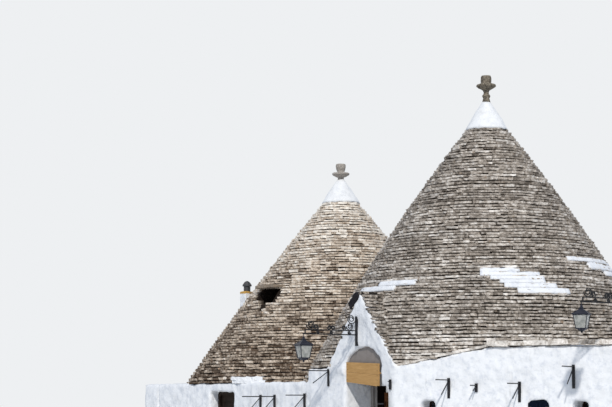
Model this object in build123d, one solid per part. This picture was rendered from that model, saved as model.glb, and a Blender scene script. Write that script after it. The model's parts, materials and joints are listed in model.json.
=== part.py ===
"""Trullo house: two drystone cones on one whitewashed wall, with a gabled, arched entrance.

Frame: millimetres, +Z up, the street facade faces -Y. The origin is on the underside of the
floor, on the axis of the large cone. The second cone stands to the left, at -X.
"""
import math
import os

from build123d import *

# Plan of the walls
CUT = 10.0                    # how far a cutting tool reaches past a face
FACADE_Y = -3250.0            # outer face of the street facade
BACK_Y = 3250.0               # outer face of the plain back wall
LEFT_X = -8350.0              # outer face of the left party wall
CORNER_X = 1200.0             # where the facade ends and the turned window wall starts
TURN_DEG = 30.0               # turn of the window wall from the facade
WINDOW_WALL_LENGTH = 4400.0
WALL = 850.0                  # thickness of the outer walls
PARTY_WALL = 650.0            # thickness of the two party walls
MIDDLE_X = -5190.0            # axis of the second cone
SHARED_WALL_X = -2675.0       # middle of the wall between the two rooms
SHARED_WALL = 650.0

# Heights of the wall tops
MIDDLE_TOP = 2050.0
ENTRANCE_TOP = 2300.0
WINDOW_WALL_TOP = 2650.0
RIGHT_PARTY_TOP = 3850.0      # the right party wall rises above the roof
STEP_X = -1650.0              # where the wall top steps down to the middle trullo
SLOPE_RUN = 1900.0            # length over which the window wall's top rises from the corner
FLOOR = 120.0
CEILING_MIDDLE = 1870.0       # underside of the corner slabs beside each dome
CEILING_BIG = 2100.0

# Roof cones: (radius, height) of the foot and the top, and the bulge of the flank. The courses
# are laid in bands: each band is steeper than the flank and ends in a ledge under the next.
BIG_FOOT = (3760.0, 2050.0)
BIG_TOP = (455.0, 7120.0)
BIG_BULGE = 130.0
BIG_CAP_TIP = (85.0, 7690.0)
MIDDLE_FOOT = (3480.0, 2050.0)
MIDDLE_TOP_RING = (425.0, 6110.0)
MIDDLE_BULGE = 60.0
MIDDLE_CAP_TIP = (75.0, 6640.0)
BAND = 420.0                  # height of a band of courses
LEDGE = 24.0                  # width of the ledge on top of a band
CAP_OVERLAP = 18.0            # the plastered cap stands this far out over the stone
CAP_BULGE = 6.0
BIG_DOME_R = 2350.0
MIDDLE_DOME_R = 2180.0
DOME_SHELL = 250.0
DOME_TIP_R = 60.0             # radius of the stone that closes a dome
DOME_BULGE = 0.11             # bulge of a dome's flank for each unit of its radius
BIG_DOME_TOP = 6150.0
MIDDLE_DOME_TOP = 5250.0
SEAT = 0.3                    # clearance between nested round faces

# Entrance under the gable
ENTRANCE_LEFT = -343.0
ENTRANCE_RIGHT = 819.0
ARCH_SPRING = 2410.0
ARCH_CROWN = 2690.0
REVEAL = 590.0                # depth of the entrance recess in front of its door
GABLE_HALF = 1040.0
GABLE_PEAK = 3640.0
COPING = 70.0                 # thickness of the slabs on the gable's slopes
COPING_PROUD = 20.0           # their overhang in front of the gable
IMPOST = (90.0, 35.0, 270.0)  # height, projection and length of the ledge left of the arch
LEDGE_TOP = 2300.0

# Doors
MIDDLE_DOOR_LEFT = -5440.0
MIDDLE_DOOR_RIGHT = -4475.0
MIDDLE_DOOR_TOP = 1875.0
MIDDLE_REVEAL = 210.0
ENTRANCE_DOOR_TOP = 1990.0
FRAME = 60.0                  # width of a door post
FRAME_DEPTH = 90.0
LEAF = 45.0                   # thickness of a door leaf
LEAF_GAP = 8.0                # gap between a leaf and its frame
PANEL = 30.0                  # panel that closes the arch over the entrance door
STOP = 18.0                   # how far the frame's stops reach over the leaf
RAIL = 130.0                  # width of the leaf's stiles and rails
FIELD_DEPTH = 12.0
LOCK_RAIL_SHARE = 0.46        # height of the lock rail in the leaf
HINGE_HEIGHTS = (430.0, 1560.0)
PINTLE_R = 7.0
PINTLE_CLEAR = 0.3            # running clearance of a hinge eye on its pintle
EYE_R = 13.0
EYE_HEIGHT = 45.0
LUG_HEIGHT = 28.0
STRAP = (420.0, 6.0)          # length and thickness of a hinge strap
PIVOT_IN = 18.0               # pivot's distance behind the leaf's inner face
HANDLE_R = 16.0
LATCH_HEIGHT = 1050.0
LATCH_IN = 65.0               # knob's distance from the leaf's edge
LATCH_OUT = 40.0
LATCH_PLATE = (50.0, 180.0)

# Wooden board across the arch, with its batten, and the folded shutter on the pier
BOARD_TOP = (2418.0, 2376.0)  # left and right
BOARD_FOOT = (2040.0, 1960.0)
BOARD_LEFT_GAP = 15.0
BOARD_RIGHT_GAP = 88.0
BOARD = 28.0
BOARD_INSET = 12.0            # board face behind the facade
BATTEN = (70.0, 40.0)
SHUTTER_WIDTH = 228.0
SHUTTER_TOP = 1960.0
SHUTTER_NOTCH = (70.0, 120.0)
SHUTTER_LEAF = 18.0
SHUTTER_LEAVES = 5
SHUTTER_SLIT = 3.0            # gap between two folded leaves
SHUTTER_HINGES = (330.0, 980.0, 1630.0)
SHUTTER_HINGE_HEIGHT = 80.0
SHUTTER_FOOT = 30.0

# Opening in the second cone over its door, and the chimney
VENT_X = -5060.0
VENT = (660.0, 3760.0, 4120.0)     # width, foot and top
VENT_END_Y = -700.0                # where its tunnel ends, inside the dome
VENT_SLAB = (790.0, 60.0, 120.0)   # width, thickness, reach in front of the flank
VENT_SLAB_IN = 300.0
CHIMNEY_AT = (-6840.0, -1457.0)
CHIMNEY = 235.0
CHIMNEY_FOOT = 3050.0
CHIMNEY_TOP = 4150.0
FLUE = 130.0
FLUE_DEPTH = 450.0
COWL = ((75.0, 0.0), (75.0, 120.0), (105.0, 120.0), (105.0, 150.0), (60.0, 215.0), (20.0, 240.0))

# Finials: half outlines, radius and height above the cap's tip
BIG_FINIAL = ((85.0, 0.0), (90.0, 95.0), (85.0, 140.0), (67.0, 160.0), (67.0, 240.0), (110.0, 262.0),
              (200.0, 340.0), (200.0, 385.0), (100.0, 392.0), (105.0, 470.0), (98.0, 545.0))
MIDDLE_FINIAL = ((75.0, 0.0), (70.0, 70.0), (110.0, 90.0), (196.0, 150.0), (196.0, 178.0),
                 (105.0, 186.0), (112.0, 290.0), (102.0, 360.0))

# Lanterns: place along the wall and height of the arm; the second hangs from the street end of
# the right party wall, measured from that wall's room face
LANTERN_AT = (66.0, 2925.0)
SECOND_LANTERN_AT = (230.0, 3350.0)
ARM = 1238.0
BAR = 16.0
MOUNT_UP = 350.0
MOUNT_DOWN = 210.0
LANTERN_ROOF_R = 190.0
LANTERN_TOP_R = 168.0
LANTERN_FOOT_R = 112.0
LANTERN_HANG = 205.0          # glass top below the bar
LANTERN_GLASS = 246.0
LANTERN_ROOF = 96.0
LANTERN_BASE = 48.0
LANTERN_BAR = 14.0
LANTERN_POST = 17.0           # width of a corner post, seen square to a pane
LANTERN_TIP = 50.0            # radius of the base's underside
LANTERN_EAVE = 12.0
LANTERN_NECK_R = 34.0
LANTERN_IN = 14.0             # hanger's distance from the arm's end
HANGER_R = 9.0
GLASS = 4.0
UPRIGHT = (40.0, 12.0)        # width and thickness of the wall bar
RAIL_BAR = (1190.0, 78.0)     # length of the upper rail and its height over the arm
SCROLL_BAR = (8.0, 12.0)      # thickness and width of the flat bar that the scrolls are bent from
SCROLL_SHRINK = 0.74          # each half turn of a scroll has this share of the last one's radius
SCROLL_HALVES = 4
SCROLL_BITE = 1.5             # how deep a scroll is welded into what carries it
# Scrolls on the upper rail: outer radius, distance of the centre from the wall, and the side
# on which the outer end lies (1 towards the wall)
SCROLLS = ((105.0, 119.0, 1), (70.0, 300.0, -1), (46.0, 560.0, 1), (46.0, 656.0, -1),
           (62.0, 905.0, 1), (95.0, 1072.0, -1))
RINGS = (230.0, 600.0, 960.0) # rings between the arm and the rail: distance from the wall

# Brackets that once carried wires: place along the wall, arm height, height below the arm, reach
WIRE_PLATE = (50.0, 28.0)     # width and thickness of the wall plate
WIRE_ARM = 20.0
WIRE_BRACE = 14.0
WIRE_BRACE_AT = (0.8, 0.6)    # share of the plate's height and of the reach where the brace ends
WIRE_TOP = 35.0
FACADE_BRACKETS = ((-897.0, 2262.0, 300.0, 627.0), (-1739.0, 1795.0, 330.0, 450.0),
                   (-2838.0, 1770.0, 330.0, 450.0), (-3370.0, 1770.0, 330.0, 450.0),
                   (1120.0, 2040.0, 150.0, 60.0))
WINDOW_WALL_BRACKETS = ((1100.0, 2060.0, 330.0, 620.0), (1630.0, 1960.0, 120.0, 300.0),
                        (2450.0, 1990.0, 330.0, 620.0), (3450.0, 2280.0, 380.0, 620.0))

# Window wall: distance from the corner, width, depth of the window in its reveal
WINDOWS = ((690.0, 290.0, 400.0), (2787.0, 385.0, 40.0), (3566.0, 300.0, 560.0))
WINDOW_SILL = 1130.0
WINDOW_TOP = 1690.0
WINDOW_SHUTTER = 28.0
SHUTTER_JOINT = 4.0
SASH = 42.0
SASH_DEPTH = 50.0
PANE = 6.0

# Passage between the rooms
PASSAGE_HALF = 430.0
PASSAGE_SPRING = 1500.0


def turned(along, inward, height=0.0):
    """Place on the window wall: along it from the corner, and inward from its outer face."""
    turn = math.radians(TURN_DEG)
    return Vector(
        CORNER_X + along * math.cos(turn) - inward * math.sin(turn),
        FACADE_Y + along * math.sin(turn) + inward * math.cos(turn),
        height,
    )


def block(x0, x1, y0, y1, z0, z1):
    """Box between two corners."""
    centre = ((x0 + x1) / 2, (y0 + y1) / 2, (z0 + z1) / 2)
    return Pos(*centre) * Box(x1 - x0, y1 - y0, z1 - z0)


def prism(points, z0, z1):
    """Upright prism over a plan outline."""
    outline = Polygon(*[(p[0], p[1]) for p in points], align=None)
    return extrude(Pos(0, 0, z0) * outline, z1 - z0)


def turned_block(along0, along1, inward0, inward1, z0, z1):
    """Box that is square to the window wall."""
    corners = [turned(along0, inward0), turned(along1, inward0),
               turned(along1, inward1), turned(along0, inward1)]
    return prism([(c.X, c.Y) for c in corners], z0, z1)


GABLE_X = CORNER_X - GABLE_HALF
GABLE_DEPTH = REVEAL + PANEL
RIGHT_FACE_X = turned(WINDOW_WALL_LENGTH, 0).X    # room side of the right party wall
RIGHT_FRONT_Y = turned(WINDOW_WALL_LENGTH, 0).Y   # street end of the right party wall
RIGHT_X = RIGHT_FACE_X + PARTY_WALL
FAR = 20000.0                 # beyond the whole house, for cutting tools


def house_outline():
    """Corners of the outer wall faces."""
    return [(LEFT_X, FACADE_Y), (CORNER_X, FACADE_Y), (RIGHT_FACE_X, RIGHT_FRONT_Y),
            (RIGHT_X, RIGHT_FRONT_Y), (RIGHT_X, BACK_Y), (LEFT_X, BACK_Y)]


def big_room_outline():
    """Corners of the large room, one wall thickness inside the outer faces."""
    turn = math.radians(TURN_DEG)
    left = SHARED_WALL_X + SHARED_WALL / 2
    y_front = FACADE_Y + WALL
    y_back = BACK_Y - WALL
    corner = (CORNER_X - WALL * math.tan(turn / 2), y_front)
    y_right = y_front + (RIGHT_FACE_X - corner[0]) * math.tan(turn)
    return [(left, y_front), corner, (RIGHT_FACE_X, y_right), (RIGHT_FACE_X, y_back),
            (left, y_back)]


def middle_room(z0, z1):
    """Block that fills the left room between two heights."""
    return block(LEFT_X + PARTY_WALL, SHARED_WALL_X - SHARED_WALL / 2, FACADE_Y + WALL,
                 BACK_Y - WALL, z0, z1)


def arch_cutter(half, spring, crown, y0, y1, x_mid):
    """Opening with a segmental head, cut along Y from the floor line up."""
    rise = crown - spring
    with BuildSketch(Plane.XZ) as face:
        with BuildLine():
            Line((x_mid - half, -CUT), (x_mid + half, -CUT))
            Line((x_mid + half, -CUT), (x_mid + half, spring))
            ThreePointArc((x_mid + half, spring), (x_mid, spring + rise), (x_mid - half, spring))
            Line((x_mid - half, spring), (x_mid - half, -CUT))
        make_face()
    return Pos(0, y1, 0) * extrude(face.sketch, y1 - y0)


def entrance_opening():
    """Arched recess of the gabled entrance."""
    half = (ENTRANCE_RIGHT - ENTRANCE_LEFT) / 2
    middle = (ENTRANCE_RIGHT + ENTRANCE_LEFT) / 2
    return arch_cutter(half, ARCH_SPRING, ARCH_CROWN, FACADE_Y - CUT, FACADE_Y + WALL + CUT, middle)


def middle_door_opening():
    """Square-headed doorway of the left room."""
    return block(MIDDLE_DOOR_LEFT, MIDDLE_DOOR_RIGHT, FACADE_Y - CUT, FACADE_Y + WALL + CUT, -CUT,
                 MIDDLE_DOOR_TOP)


def window_opening(window):
    """Hole for one window, square to the window wall."""
    along, width, _ = window
    return turned_block(along - width / 2, along + width / 2, -CUT, WALL + CUT, WINDOW_SILL, WINDOW_TOP)


def passage():
    """Arched way between the rooms, cut along X."""
    cutter = arch_cutter(PASSAGE_HALF, PASSAGE_SPRING, PASSAGE_SPRING + PASSAGE_HALF,
                         -SHARED_WALL / 2 - CUT, SHARED_WALL / 2 + CUT, 0)
    return Pos(SHARED_WALL_X, 0, 0) * Rot(0, 0, 90) * cutter


def wall_mass():
    """All the masonry of the walls, before it is divided into its lengths."""
    outline = house_outline()
    low = prism(outline, 0, MIDDLE_TOP)
    entrance = prism(outline, MIDDLE_TOP, ENTRANCE_TOP) & block(STEP_X, FAR, -FAR, FAR, 0, FAR)
    high = prism(outline, ENTRANCE_TOP, WINDOW_WALL_TOP) & block(CORNER_X, FAR, -FAR, FAR, 0, FAR)
    mass = low + entrance + high
    mass -= prism(big_room_outline(), -CUT, FAR)
    mass -= middle_room(-CUT, FAR)
    mass -= rising_top_cutter()
    mass += block(RIGHT_FACE_X, RIGHT_X, RIGHT_FRONT_Y, BACK_Y, 0, RIGHT_PARTY_TOP)
    mass -= entrance_opening()
    mass -= middle_door_opening()
    mass -= passage()
    for window in WINDOWS:
        mass -= window_opening(window)
    for hollow in dome_beds():
        mass -= hollow
    return mass


def rising_top_cutter():
    """What is cut off above the window wall's rising top, from the corner to where it is level."""
    turn = math.degrees(math.atan((WINDOW_WALL_TOP - ENTRANCE_TOP) / SLOPE_RUN))
    wedge = Box(2 * SLOPE_RUN, 4 * WALL, 2 * WALL, align=(Align.MIN, Align.CENTER, Align.MIN))
    wedge = Rot(0, -turn, 0) * wedge
    corner = turned(0, 0, ENTRANCE_TOP)
    return Pos(corner.X, corner.Y, corner.Z) * Rot(0, 0, TURN_DEG) * wedge


def cone_face(foot, top, bulge):
    """Half section of a solid cone with a slightly bulging flank, on the XZ plane."""
    chord_r = top[0] - foot[0]
    chord_z = top[1] - foot[1]
    length = math.hypot(chord_r, chord_z)
    mid = ((foot[0] + top[0]) / 2 + bulge * chord_z / length,
           (foot[1] + top[1]) / 2 - bulge * chord_r / length)
    with BuildSketch(Plane.XZ) as face:
        with BuildLine():
            Line((0, foot[1]), foot)
            ThreePointArc(foot, mid, top)
            Line(top, (0, top[1]))
            Line((0, top[1]), (0, foot[1]))
        make_face()
    return face.sketch


def solid_cone(foot, top, bulge):
    """Whole cone of revolution about the Z axis."""
    return revolve(cone_face(foot, top, bulge), Axis.Z)


def flank_radius(foot, top, bulge, height):
    """Radius of a bulging flank at a height."""
    rise = top[1] - foot[1]
    share = (height - foot[1]) / rise
    slant = math.hypot(top[0] - foot[0], rise) / rise
    return foot[0] + (top[0] - foot[0]) * share + 4 * bulge * share * (1 - share) * slant


def banded_cone(foot, top, bulge):
    """Roof cone about the Z axis, laid in bands of courses with a ledge on top of each."""
    bands = round((top[1] - foot[1]) / BAND)
    height = (top[1] - foot[1]) / bands
    outline = [(0, foot[1])]
    for band in range(bands):
        low = foot[1] + band * height
        ledge = LEDGE if band < bands - 1 else 0
        outline.append((flank_radius(foot, top, bulge, low), low))
        outline.append((flank_radius(foot, top, bulge, low + height) + ledge, low + height))
    outline.append((0, top[1]))
    with BuildSketch(Plane.XZ) as face:
        with BuildLine():
            Polyline(*outline, close=True)
        make_face()
    return revolve(face.sketch, Axis.Z)


def dome_solid(radius, spring, apex):
    """Solid of the corbelled dome's pointed shape."""
    return solid_cone((radius, spring), (DOME_TIP_R, apex), radius * DOME_BULGE)


def dome_shell(radius, spring, apex):
    """Corbelled inner dome of one ring of blocks."""
    outer = dome_solid(radius + DOME_SHELL, spring, apex + DOME_SHELL)
    return outer - dome_solid(radius, spring, apex)


def dome_beds():
    """Room that each dome takes up in the masonry round it."""
    reach = DOME_SHELL + SEAT
    return [dome_solid(BIG_DOME_R + reach, CEILING_BIG, BIG_DOME_TOP + reach),
            Pos(MIDDLE_X, 0, 0) * dome_solid(MIDDLE_DOME_R + reach, CEILING_MIDDLE,
                                             MIDDLE_DOME_TOP + reach)]


def ceilings():
    """Corner slabs between the straight walls and the round domes."""
    big = prism(big_room_outline(), CEILING_BIG, ENTRANCE_TOP)
    right = prism(big_room_outline(), ENTRANCE_TOP, WINDOW_WALL_TOP) & block(
        CORNER_X, FAR, -FAR, FAR, 0, FAR)
    big += right - rising_top_cutter()
    middle = middle_room(CEILING_MIDDLE, MIDDLE_TOP)
    beds = dome_beds()
    return big - beds[0] - beds[1], middle - beds[1] - beds[0]


def floors():
    """Stone floors of both rooms, and the sills of the two doorways and the passage."""
    big = prism(big_room_outline(), 0, FLOOR)
    middle = middle_room(0, FLOOR)
    sills = block(ENTRANCE_LEFT, ENTRANCE_RIGHT, FACADE_Y, FACADE_Y + WALL, 0, FLOOR)
    sills += block(MIDDLE_DOOR_LEFT, MIDDLE_DOOR_RIGHT, FACADE_Y, FACADE_Y + WALL, 0, FLOOR)
    sills += block(SHARED_WALL_X - SHARED_WALL / 2, SHARED_WALL_X + SHARED_WALL / 2,
                   -PASSAGE_HALF, PASSAGE_HALF, 0, FLOOR)
    return big, middle, sills


def gable_prism():
    """Whole triangle of the gable, without its arch."""
    with BuildSketch(Plane.XZ) as face:
        with BuildLine():
            Polyline((GABLE_X - GABLE_HALF, ENTRANCE_TOP), (GABLE_X + GABLE_HALF, ENTRANCE_TOP),
                     (GABLE_X, GABLE_PEAK), close=True)
        make_face()
    return Pos(0, FACADE_Y + GABLE_DEPTH, 0) * extrude(face.sketch, GABLE_DEPTH)


def coping_prism():
    """Slabs on both slopes of the gable, before the cone cuts them off behind."""
    rise = GABLE_PEAK - ENTRANCE_TOP
    slope = math.hypot(rise, GABLE_HALF)
    up = COPING * slope / GABLE_HALF
    out = COPING * slope / rise
    with BuildSketch(Plane.XZ) as face:
        with BuildLine():
            Polyline((GABLE_X - GABLE_HALF, ENTRANCE_TOP), (GABLE_X, GABLE_PEAK),
                     (GABLE_X + GABLE_HALF, ENTRANCE_TOP), (GABLE_X + GABLE_HALF + out, ENTRANCE_TOP),
                     (GABLE_X, GABLE_PEAK + up), (GABLE_X - GABLE_HALF - out, ENTRANCE_TOP), close=True)
        make_face()
    depth = GABLE_DEPTH + COPING_PROUD
    return Pos(0, FACADE_Y + GABLE_DEPTH, 0) * extrude(face.sketch, depth)


def vent_opening():
    """Tunnel of the opening through the second cone and its dome."""
    width, foot, top = VENT
    return block(VENT_X - width / 2, VENT_X + width / 2, FACADE_Y, VENT_END_Y, foot, top)


def vent_slab():
    """Stone slab over the opening in the second cone, bedded in its flank."""
    width, thick, out = VENT_SLAB
    top = VENT[2]
    flank = flank_radius(MIDDLE_FOOT, MIDDLE_TOP_RING, MIDDLE_BULGE, top)
    return block(VENT_X - width / 2, VENT_X + width / 2, -flank - out, -flank + VENT_SLAB_IN,
                 top, top + thick)


def chimney_shaft():
    """Square whitewashed shaft without its flue."""
    x, y = CHIMNEY_AT
    half = CHIMNEY / 2
    return block(x - half, x + half, y - half, y + half, CHIMNEY_FOOT, CHIMNEY_TOP)


def build_roofs(nodes):
    """Domes, stone cones, caps, gable, opening and chimney."""
    nodes["big_dome"] = dome_shell(BIG_DOME_R, CEILING_BIG, BIG_DOME_TOP)
    nodes["middle_dome"] = Pos(MIDDLE_X, 0, 0) * dome_shell(
        MIDDLE_DOME_R, CEILING_MIDDLE, MIDDLE_DOME_TOP) - vent_opening()
    big_ceiling, middle_ceiling = ceilings()
    nodes["big_corner_slabs"] = big_ceiling
    nodes["middle_corner_slabs"] = middle_ceiling
    outline = prism(house_outline(), 0, FAR)
    whole_cone = banded_cone(BIG_FOOT, BIG_TOP, BIG_BULGE)
    big_cone = whole_cone & outline
    middle_cone = (Pos(MIDDLE_X, 0, 0) * banded_cone(MIDDLE_FOOT, MIDDLE_TOP_RING, MIDDLE_BULGE)) & outline
    middle_cone -= big_cone
    walls = [shape for name, shape in nodes.items() if "wall" in name or "lintel" in name
             or "arch" in name or "slabs" in name]
    for taken in dome_beds() + walls + [gable_prism()]:
        big_cone -= taken
        middle_cone -= taken
    doorway = block(ENTRANCE_LEFT, ENTRANCE_RIGHT, FACADE_Y, FACADE_Y + WALL, 0, ENTRANCE_TOP)
    big_cone -= doorway
    big_cone -= prism(big_room_outline(), 0, CEILING_BIG)
    middle_cone -= vent_opening()
    middle_cone -= chimney_shaft()
    middle_cone -= vent_slab()
    nodes["big_roof"] = big_cone
    nodes["middle_roof"] = middle_cone
    nodes["gable_wall"] = gable_prism() - entrance_opening()
    nodes["gable_coping"] = coping_prism() - whole_cone + (
        coping_prism() & block(-FAR, FAR, -FAR, FACADE_Y, 0, FAR))
    nodes["big_cap"] = solid_cone((BIG_TOP[0] + CAP_OVERLAP, BIG_TOP[1]), BIG_CAP_TIP, CAP_BULGE)
    nodes["middle_cap"] = Pos(MIDDLE_X, 0, 0) * solid_cone(
        (MIDDLE_TOP_RING[0] + CAP_OVERLAP, MIDDLE_TOP_RING[1]), MIDDLE_CAP_TIP, CAP_BULGE)


def write(name, shape):
    """Write one node."""
    export_step(shape, f"parts/{name}.step")


def build_walls(nodes):
    """Divide the wall masonry into the lengths that a mason would name."""
    mass = wall_mass()
    left_room = LEFT_X + PARTY_WALL
    shared_left = SHARED_WALL_X - SHARED_WALL / 2
    shared_right = SHARED_WALL_X + SHARED_WALL / 2

    def length(x0, x1, y0=-FAR, y1=FAR):
        return mass & block(x0, x1, y0, y1, -CUT, FAR)

    nodes["left_party_wall"] = length(-FAR, left_room)
    nodes["middle_front_wall_left"] = length(left_room, MIDDLE_DOOR_LEFT, y1=0)
    nodes["middle_door_lintel"] = length(MIDDLE_DOOR_LEFT, MIDDLE_DOOR_RIGHT, y1=0)
    nodes["middle_front_wall_right"] = length(MIDDLE_DOOR_RIGHT, shared_left, y1=0)
    nodes["middle_back_wall"] = length(left_room, shared_left, y0=0)
    nodes["shared_wall_front"] = length(shared_left, shared_right, y1=-PASSAGE_HALF)
    nodes["shared_wall_back"] = length(shared_left, shared_right, y0=PASSAGE_HALF)
    nodes["passage_arch"] = length(shared_left, shared_right, -PASSAGE_HALF, PASSAGE_HALF)
    nodes["entrance_wall_left"] = length(shared_right, ENTRANCE_LEFT, y1=0)
    ledge_height, ledge_out, ledge_length = IMPOST
    nodes["impost_ledge"] = block(ENTRANCE_LEFT - ledge_length, ENTRANCE_LEFT, FACADE_Y - ledge_out,
                                  FACADE_Y, LEDGE_TOP - ledge_height, LEDGE_TOP)
    corner_in = big_room_outline()[1]
    pier = prism([(ENTRANCE_RIGHT, FACADE_Y), (CORNER_X, FACADE_Y), corner_in,
                  (ENTRANCE_RIGHT, corner_in[1])], -CUT, FAR)
    nodes["entrance_wall_right"] = mass & pier
    front = mass - pier - block(RIGHT_FACE_X, FAR, -FAR, FAR, -CUT, FAR) - block(
        -FAR, ENTRANCE_RIGHT, -FAR, FAR, -CUT, FAR) - block(-FAR, FAR, BACK_Y - WALL, FAR, -CUT, FAR)
    split = (WINDOWS[0][0] + WINDOWS[1][0]) / 2
    left_half = turned_block(-WALL, split, -FAR, FAR, -CUT, FAR)
    nodes["window_wall_left"] = front & left_half
    nodes["window_wall_right"] = front - left_half
    nodes["right_party_wall"] = length(RIGHT_FACE_X, FAR)
    nodes["big_back_wall"] = length(shared_right, RIGHT_FACE_X, y0=BACK_Y - WALL)


def framed_opening(x0, x1, top, y0):
    """Rebated door frame of two posts and a head, with its stops towards the street."""
    outer = block(x0, x1, y0, y0 + FRAME_DEPTH, FLOOR, top + FRAME)
    clear = block(x0 + FRAME, x1 - FRAME, y0, y0 + FRAME_DEPTH, FLOOR, top)
    stop_depth = FRAME_DEPTH - LEAF - LEAF_GAP
    inner = block(x0 + FRAME + STOP, x1 - FRAME - STOP, y0, y0 + stop_depth, FLOOR, top - STOP)
    rebate = block(x0 + FRAME, x1 - FRAME, y0 + stop_depth, y0 + FRAME_DEPTH, FLOOR, top)
    return outer - inner - (clear & rebate)


def door_leaf(x0, x1, top, y0):
    """Door leaf with two sunk fields on its street face and three ledges inside."""
    face = y0 + FRAME_DEPTH - LEAF
    left = x0 + FRAME + LEAF_GAP
    right = x1 - FRAME - LEAF_GAP
    foot = FLOOR + LEAF_GAP
    head = top - LEAF_GAP
    leaf = block(left, right, face, face + LEAF, foot, head)
    middle = foot + (head - foot) * LOCK_RAIL_SHARE
    for z0, z1 in ((foot + RAIL, middle - RAIL / 2), (middle + RAIL / 2, head - RAIL)):
        leaf -= block(left + RAIL, right - RAIL, face, face + FIELD_DEPTH, z0, z1)
    return leaf


def pivot(x0, y0):
    """Hinge axis of a leaf: in the gap beside the post, behind the leaf's inner face."""
    return x0 + FRAME + LEAF_GAP / 2, y0 + FRAME_DEPTH + PIVOT_IN


def door_ironwork(x0, x1, y0):
    """Two hinge straps with their eyes, and the lock's plate and knob."""
    x_pin, y_pin = pivot(x0, y0)
    inside = y0 + FRAME_DEPTH
    length, thick = STRAP
    iron = None
    for height in HINGE_HEIGHTS:
        low = height - EYE_HEIGHT / 2
        eye = Pos(x_pin, y_pin, height) * Cylinder(EYE_R, EYE_HEIGHT)
        edge = x_pin + LEAF_GAP / 2
        strap = block(edge, edge + length, inside, inside + thick, low, low + EYE_HEIGHT)
        crank = block(edge, edge + EYE_R, inside, y_pin, low, low + EYE_HEIGHT)
        bore = Pos(x_pin, y_pin, height) * Cylinder(PINTLE_R + PINTLE_CLEAR, 2 * EYE_HEIGHT)
        eye = (eye + strap + crank) - bore
        iron = eye if iron is None else iron + eye
    latch_x = x1 - FRAME - LEAF_GAP - LATCH_IN
    face = inside - LEAF
    for side, start in ((1, inside), (-1, face)):
        plate = block(latch_x - LATCH_PLATE[0] / 2, latch_x + LATCH_PLATE[0] / 2,
                      min(start, start + side * thick), max(start, start + side * thick),
                      LATCH_HEIGHT - LATCH_PLATE[1] / 2, LATCH_HEIGHT + LATCH_PLATE[1] / 2)
        neck = Pos(latch_x, start + side * LATCH_OUT / 2, LATCH_HEIGHT) * Rot(90, 0, 0) * Cylinder(
            HANDLE_R / 2, LATCH_OUT)
        knob = Pos(latch_x, start + side * LATCH_OUT, LATCH_HEIGHT) * Sphere(HANDLE_R)
        iron += plate + neck + knob
    return iron


def door_pintles(x0, y0):
    """Pins on lugs that carry one leaf, fixed to the post's room side."""
    x_pin, y_pin = pivot(x0, y0)
    back = y0 + FRAME_DEPTH
    pins = []
    for height in HINGE_HEIGHTS:
        seat = height - EYE_HEIGHT / 2 - PINTLE_CLEAR
        pin = Pos(x_pin, y_pin, seat) * Cylinder(PINTLE_R, EYE_HEIGHT, align=(
            Align.CENTER, Align.CENTER, Align.MIN))
        lug = block(x_pin - FRAME / 2, x_pin + PINTLE_R, back, y_pin + PINTLE_R, seat - LUG_HEIGHT, seat)
        pins.append(pin + lug)
    return pins


def build_doors(nodes):
    """Frames, leaves and ironwork of both doors, and the closed head of the arch."""
    entrance_y = FACADE_Y + REVEAL
    middle_y = FACADE_Y + MIDDLE_REVEAL
    nodes["entrance_door_frame"] = framed_opening(
        ENTRANCE_LEFT, ENTRANCE_RIGHT, ENTRANCE_DOOR_TOP, entrance_y)
    nodes["middle_door_frame"] = framed_opening(
        MIDDLE_DOOR_LEFT, MIDDLE_DOOR_RIGHT, MIDDLE_DOOR_TOP - FRAME, middle_y)
    nodes["entrance_door"] = door_leaf(ENTRANCE_LEFT, ENTRANCE_RIGHT, ENTRANCE_DOOR_TOP, entrance_y)
    nodes["middle_door"] = door_leaf(
        MIDDLE_DOOR_LEFT, MIDDLE_DOOR_RIGHT, MIDDLE_DOOR_TOP - FRAME, middle_y)
    nodes["entrance_door_ironwork"] = door_ironwork(ENTRANCE_LEFT, ENTRANCE_RIGHT, entrance_y)
    nodes["middle_door_ironwork"] = door_ironwork(MIDDLE_DOOR_LEFT, MIDDLE_DOOR_RIGHT, middle_y)
    nodes["door_pintles"] = Compound(
        door_pintles(ENTRANCE_LEFT, entrance_y) + door_pintles(MIDDLE_DOOR_LEFT, middle_y))
    above_head = block(ENTRANCE_LEFT, ENTRANCE_RIGHT, entrance_y, entrance_y + PANEL,
                       ENTRANCE_DOOR_TOP + FRAME, FAR)
    nodes["arch_panel"] = entrance_opening() & above_head


def slanted_board(top, foot, x0, x1, y0, y1):
    """Board whose top and lower edges slant, between two faces across Y."""
    with BuildSketch(Plane.XZ) as face:
        with BuildLine():
            Polyline((x0, foot[0]), (x1, foot[1]), (x1, top[1]), (x0, top[0]), close=True)
        make_face()
    return Pos(0, y1, 0) * extrude(face.sketch, y1 - y0)


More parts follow.
